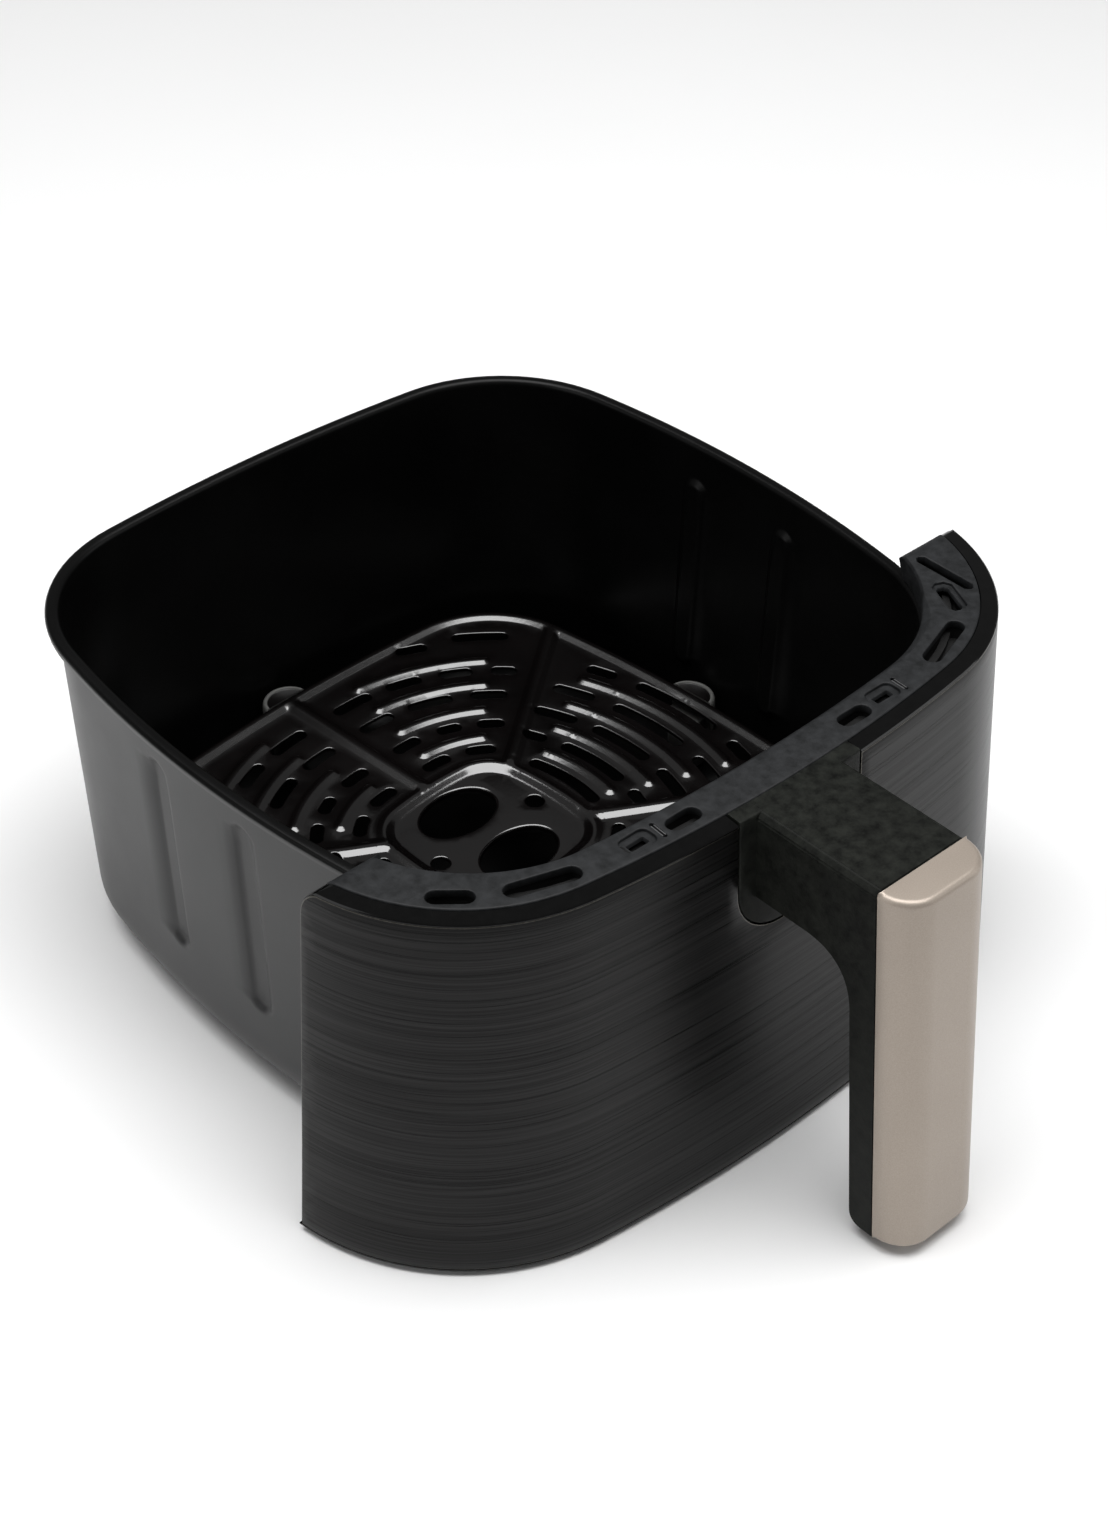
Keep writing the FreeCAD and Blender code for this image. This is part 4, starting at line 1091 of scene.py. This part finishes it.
def plain(name, colour, rough, metallic=0.0, shine=0.5):
    material = bpy.data.materials.new(name)
    material.use_nodes = True
    shader = material.node_tree.nodes["Principled BSDF"]
    shader.inputs["Base Color"].default_value = (*colour, 1.0)
    shader.inputs["Roughness"].default_value = rough
    shader.inputs["Metallic"].default_value = metallic
    shader.inputs["Specular IOR Level"].default_value = shine
    return material, material.node_tree, shader


def coordinates(tree, scale):
    source = tree.nodes.new("ShaderNodeTexCoord")
    mapping = tree.nodes.new("ShaderNodeMapping")
    mapping.inputs["Scale"].default_value = scale
    tree.links.new(source.outputs["Object"], mapping.inputs["Vector"])
    return mapping.outputs["Vector"]


def noise(tree, vector, scale, detail=4.0, rough=0.55):
    node = tree.nodes.new("ShaderNodeTexNoise")
    node.inputs["Scale"].default_value = scale
    node.inputs["Detail"].default_value = detail
    node.inputs["Roughness"].default_value = rough
    tree.links.new(vector, node.inputs["Vector"])
    return node.outputs["Fac"]


def ramp(tree, value, stops):
    node = tree.nodes.new("ShaderNodeValToRGB")
    band = node.color_ramp
    while len(band.elements) < len(stops):
        band.elements.new(0.5)
    for element, (place, colour) in zip(band.elements, stops):
        element.position = place
        shade = colour if isinstance(colour, tuple) else (colour, colour, colour)
        element.color = (*shade, 1.0)
    tree.links.new(value, node.inputs["Fac"])
    return node.outputs["Color"]


def bump(tree, shader, height, strength, distance):
    node = tree.nodes.new("ShaderNodeBump")
    node.inputs["Strength"].default_value = strength
    node.inputs["Distance"].default_value = distance
    tree.links.new(height, node.inputs["Height"])
    tree.links.new(node.outputs["Normal"], shader.inputs["Normal"])
    return node


def coated_metal(name, dark, light, rough, grain, shine, depth=0.0002):
    """A baked coating: soft clouds of colour and sheen over a fine orange-peel grain."""
    material, tree, shader = plain(name, dark, rough[0], 0.0, shine)
    space = coordinates(tree, (1, 1, 1))
    cloud = noise(tree, space, 26.0, 5.0)
    fine = noise(tree, space, grain, 3.0)
    tree.links.new(ramp(tree, cloud, [(0.3, dark), (0.75, light)]), shader.inputs["Base Color"])
    tree.links.new(ramp(tree, cloud, [(0.3, rough[0]), (0.7, rough[1])]), shader.inputs["Roughness"])
    bump(tree, shader, fine, 0.12, depth)
    return material


def brushed(name, dark, light, rough, shine):
    """A brushed sheet: long fine horizontal strokes over broader, fainter ones."""
    material, tree, shader = plain(name, dark, rough[0], 0.0, shine)
    strokes = noise(tree, coordinates(tree, (11.0, 11.0, 2200.0)), 1.0, 4.0, 0.7)
    long_ones = noise(tree, coordinates(tree, (5.0, 5.0, 800.0)), 1.0, 2.0, 0.5)
    mix = tree.nodes.new("ShaderNodeMath")
    mix.operation = "MULTIPLY_ADD"
    mix.inputs[1].default_value = 0.65
    tree.links.new(strokes, mix.inputs[0])
    share = tree.nodes.new("ShaderNodeMath")
    share.operation = "MULTIPLY"
    share.inputs[1].default_value = 0.35
    tree.links.new(long_ones, share.inputs[0])
    tree.links.new(share.outputs[0], mix.inputs[2])
    for socket, stops in (("Base Color", [(0.36, dark), (0.62, light)]),
                          ("Roughness", [(0.35, rough[0]), (0.65, rough[1])]),
                          ("Specular IOR Level", [(0.4, shine * 0.7), (0.6, shine * 1.3)])):
        tree.links.new(ramp(tree, mix.outputs[0], stops), shader.inputs[socket])
    bump(tree, shader, strokes, 0.12, 0.00006)
    return material


def moulded(name, dark, light, rough, grain, depth, shine=0.5):
    """Moulded plastic: mottled colour and sheen with a fine pressed grain."""
    material, tree, shader = plain(name, dark, rough[0], 0.0, shine)
    space = coordinates(tree, (1, 1, 1))
    cloud = noise(tree, space, 240.0, 8.0, 0.7)
    fine = noise(tree, space, grain, 2.0)
    tree.links.new(ramp(tree, cloud, [(0.34, dark), (0.66, light)]), shader.inputs["Base Color"])
    tree.links.new(ramp(tree, cloud, [(0.3, rough[0]), (0.7, rough[1])]), shader.inputs["Roughness"])
    bump(tree, shader, fine, 0.3, depth)
    return material


def metallic(name, dark, light, rough, grain, share=1.0):
    """Bare or painted metal with a fine sparkle."""
    material, tree, shader = plain(name, light, rough[0], share)
    space = coordinates(tree, (1, 1, 1))
    cloud = noise(tree, space, 30.0, 4.0)
    fine = noise(tree, space, grain, 2.0, 0.7)
    tree.links.new(ramp(tree, fine, [(0.3, dark), (0.7, light)]), shader.inputs["Base Color"])
    tree.links.new(ramp(tree, cloud, [(0.3, rough[0]), (0.7, rough[1])]), shader.inputs["Roughness"])
    bump(tree, shader, fine, 0.05, 0.0001)
    return material


def glossy_plate(name, *looks):
    """The plate's glossy black coating, with a warm tint that is a painted reflection of a brownish
    surround.
    """
    material = coated_metal(name, *looks)
    material.node_tree.nodes["Principled BSDF"].inputs["IOR"].default_value = 1.9
    return material


# name: (maker, dark colour, light colour, roughness range, then the maker's own settings)
LOOKS = {
    # the pan's inside: a much darker, less shiny copy of the pan's one coating, painted shade for the deep
    # inside of the pan
    "pan_inside": (coated_metal, (0.001, 0.001, 0.001), (0.002, 0.002, 0.002), (0.3, 0.38), 900.0, 0.15),
    "pan_outside": (coated_metal, (0.014, 0.014, 0.0145), (0.021, 0.021, 0.0215), (0.36, 0.44), 1200.0, 0.4),
    # the plate's coating: near black, with a warm tint that is a painted reflection of a brownish surround
    "plate_coating": (glossy_plate, (0.0012, 0.0009, 0.0009), (0.0025, 0.0018, 0.0018), (0.14, 0.18),
                      700.0, 0.5, 0.00012),
    "brushed_black": (brushed, (0.0008, 0.0008, 0.0008), (0.005, 0.0048, 0.0047), (0.25, 0.38), 0.17),
    # the skin's edge metal: lighter than its face, partly the bare cut edge and partly a painted highlight
    # line along the rounded edge
    "cut_edge": (metallic, (0.06, 0.057, 0.05), (0.11, 0.105, 0.095), (0.26, 0.36), 900.0),
    "gloss_black": (moulded, (0.001, 0.001, 0.001), (0.002, 0.002, 0.002), (0.08, 0.14),
                    300.0, 0.00001, 0.35),
    "matte_grey": (moulded, (0.0085, 0.009, 0.0095), (0.0205, 0.0215, 0.023), (0.45, 0.6),
                   1500.0, 0.0001, 0.2),
    "black_nylon": (moulded, (0.005, 0.005, 0.005), (0.009, 0.009, 0.009), (0.5, 0.62),
                    1200.0, 0.0001, 0.25),
    "handle_black": (moulded, (0.002, 0.0023, 0.0018), (0.0135, 0.0147, 0.0122), (0.46, 0.6),
                     1500.0, 0.00012, 0.11),
    "champagne": (metallic, (0.33, 0.28, 0.235), (0.385, 0.33, 0.28), (0.38, 0.44), 2500.0, 0.4),
    "silicone": (moulded, (0.07, 0.07, 0.067), (0.09, 0.09, 0.086), (0.5, 0.6), 900.0, 0.00005),
    "bare_steel": (metallic, (0.42, 0.42, 0.43), (0.55, 0.55, 0.56), (0.28, 0.4), 700.0),
    # the clips' steel, darkened far below bare steel: painted shade for clips that sit deep in the bracket's
    # windows
    "spring_steel": (metallic, (0.08, 0.08, 0.08), (0.13, 0.13, 0.13), (0.2, 0.3), 500.0),
    "steel_fastener": (metallic, (0.4, 0.4, 0.41), (0.6, 0.6, 0.6), (0.25, 0.35), 900.0),
    "shield_aluminium": (metallic, (0.5, 0.5, 0.5), (0.65, 0.65, 0.65), (0.3, 0.4), 400.0),
}
MATERIALS = {name: maker(name, *looks) for name, (maker, *looks) in LOOKS.items()}


def paint_cad_nodes():
    slots = {s["node"]: s["material_slot"] for s in frame["record"]["subparts"]}
    for name, node in frame["nodes"].items():
        material = MATERIALS.get(slots.get(name, ""), MATERIALS["black_nylon"])
        if slots.get(name) == "pan_coating":
            material = MATERIALS["pan_outside"]
        node.data.materials.clear()
        node.data.materials.append(material)
        for polygon in node.data.polygons:
            polygon.material_index = 0


# ======================= stage, light and camera =======================

def make_stage():
    floor_material, tree, shader = plain("floor_paper", (0.9, 0.9, 0.9), 0.8)
    cloud = noise(tree, coordinates(tree, (1, 1, 1)), 3.0)
    tree.links.new(ramp(tree, cloud, [(0.3, 0.89), (0.7, 0.91)]), shader.inputs["Base Color"])
    mesh = bpy.data.meshes.new("floor")
    size = 6.0
    mesh.from_pydata([(-size, -size, 0), (size, -size, 0), (size, size, 0), (-size, size, 0)], [],
                     [(0, 1, 2, 3)])
    mesh.materials.append(floor_material)
    floor = bpy.data.objects.new("floor", mesh)
    bpy.context.scene.collection.objects.link(floor)
    world = bpy.data.worlds.new("studio")
    bpy.context.scene.world = world
    world.use_nodes = True
    background = world.node_tree.nodes["Background"]
    background.inputs["Color"].default_value = (1.0, 1.0, 1.0, 1.0)
    background.inputs["Strength"].default_value = 0.15


def area_light(name, place, target, size, radiance, turn=0.0):
    """A soft box of the given radiance, turned about its own axis."""
    data = bpy.data.lights.new(name, "AREA")
    data.shape = "RECTANGLE"
    data.size, data.size_y = size
    data.energy = radiance * math.pi * size[0] * size[1]
    light = bpy.data.objects.new(name, data)
    bpy.context.scene.collection.objects.link(light)
    light.location = place
    aim = (Vector(target) - Vector(place)).to_track_quat("-Z", "Y")
    light.rotation_euler = (aim @ Quaternion((0, 0, 1), turn)).to_euler()


def make_camera():
    azimuth, elevation, roll = math.radians(-43.018), math.radians(38.983), math.radians(0.698)
    back = Vector((math.sin(azimuth) * math.cos(elevation),
                   -math.cos(azimuth) * math.cos(elevation), math.sin(elevation)))
    right = Vector((math.cos(azimuth), math.sin(azimuth), 0))
    up = back.cross(right)
    right, up = (right * math.cos(roll) + up * math.sin(roll),
                 up * math.cos(roll) - right * math.sin(roll))
    target = metres(21.38, -8.40, 54.02)
    data = bpy.data.cameras.new("camera")
    data.sensor_width = 36.0
    data.lens = 65.97
    data.clip_end = 50.0
    camera = bpy.data.objects.new("camera", data)
    bpy.context.scene.collection.objects.link(camera)
    basis = Matrix((right, up, back)).transposed().to_4x4()
    basis.translation = target + back * 0.93333
    camera.matrix_world = basis
    bpy.context.scene.camera = camera


def main():
    bpy.context.scene.view_settings.view_transform = "Standard"
    paint_cad_nodes()
    make_stage()
    make_camera()
    area_light("overhead", (-0.02, -0.1, 1.55), (-0.02, -0.1, 0), (1.8, 1.05), 6.0, math.radians(-43))
    area_light("left", (-2.2, 0.4, 1.2), (0, 0, 0.05), (1.4, 1.2), 1.3)
    area_light("right", (2.0, -1.6, 1.0), (0, 0, 0.05), (1.2, 1.2), 1.6)
    m = MATERIALS
    make_pan([m["pan_inside"], m["pan_outside"]])
    make_crisper_plate([m["plate_coating"]])
    make_front_skin([m["brushed_black"], m["cut_edge"]])
    for name, turn, reach in BUMPERS:
        make_bumper(name, turn, reach, [m["silicone"], m["plate_coating"]])
    make_top_bracket([m["matte_grey"]])
    make_shade_pockets([m["black_nylon"]])
    make_clip_edges([m["bare_steel"]])
    make_handle_cover([m["champagne"]])
    make_handle_arm([m["handle_black"]])
    make_flange([m["handle_black"]])


main()
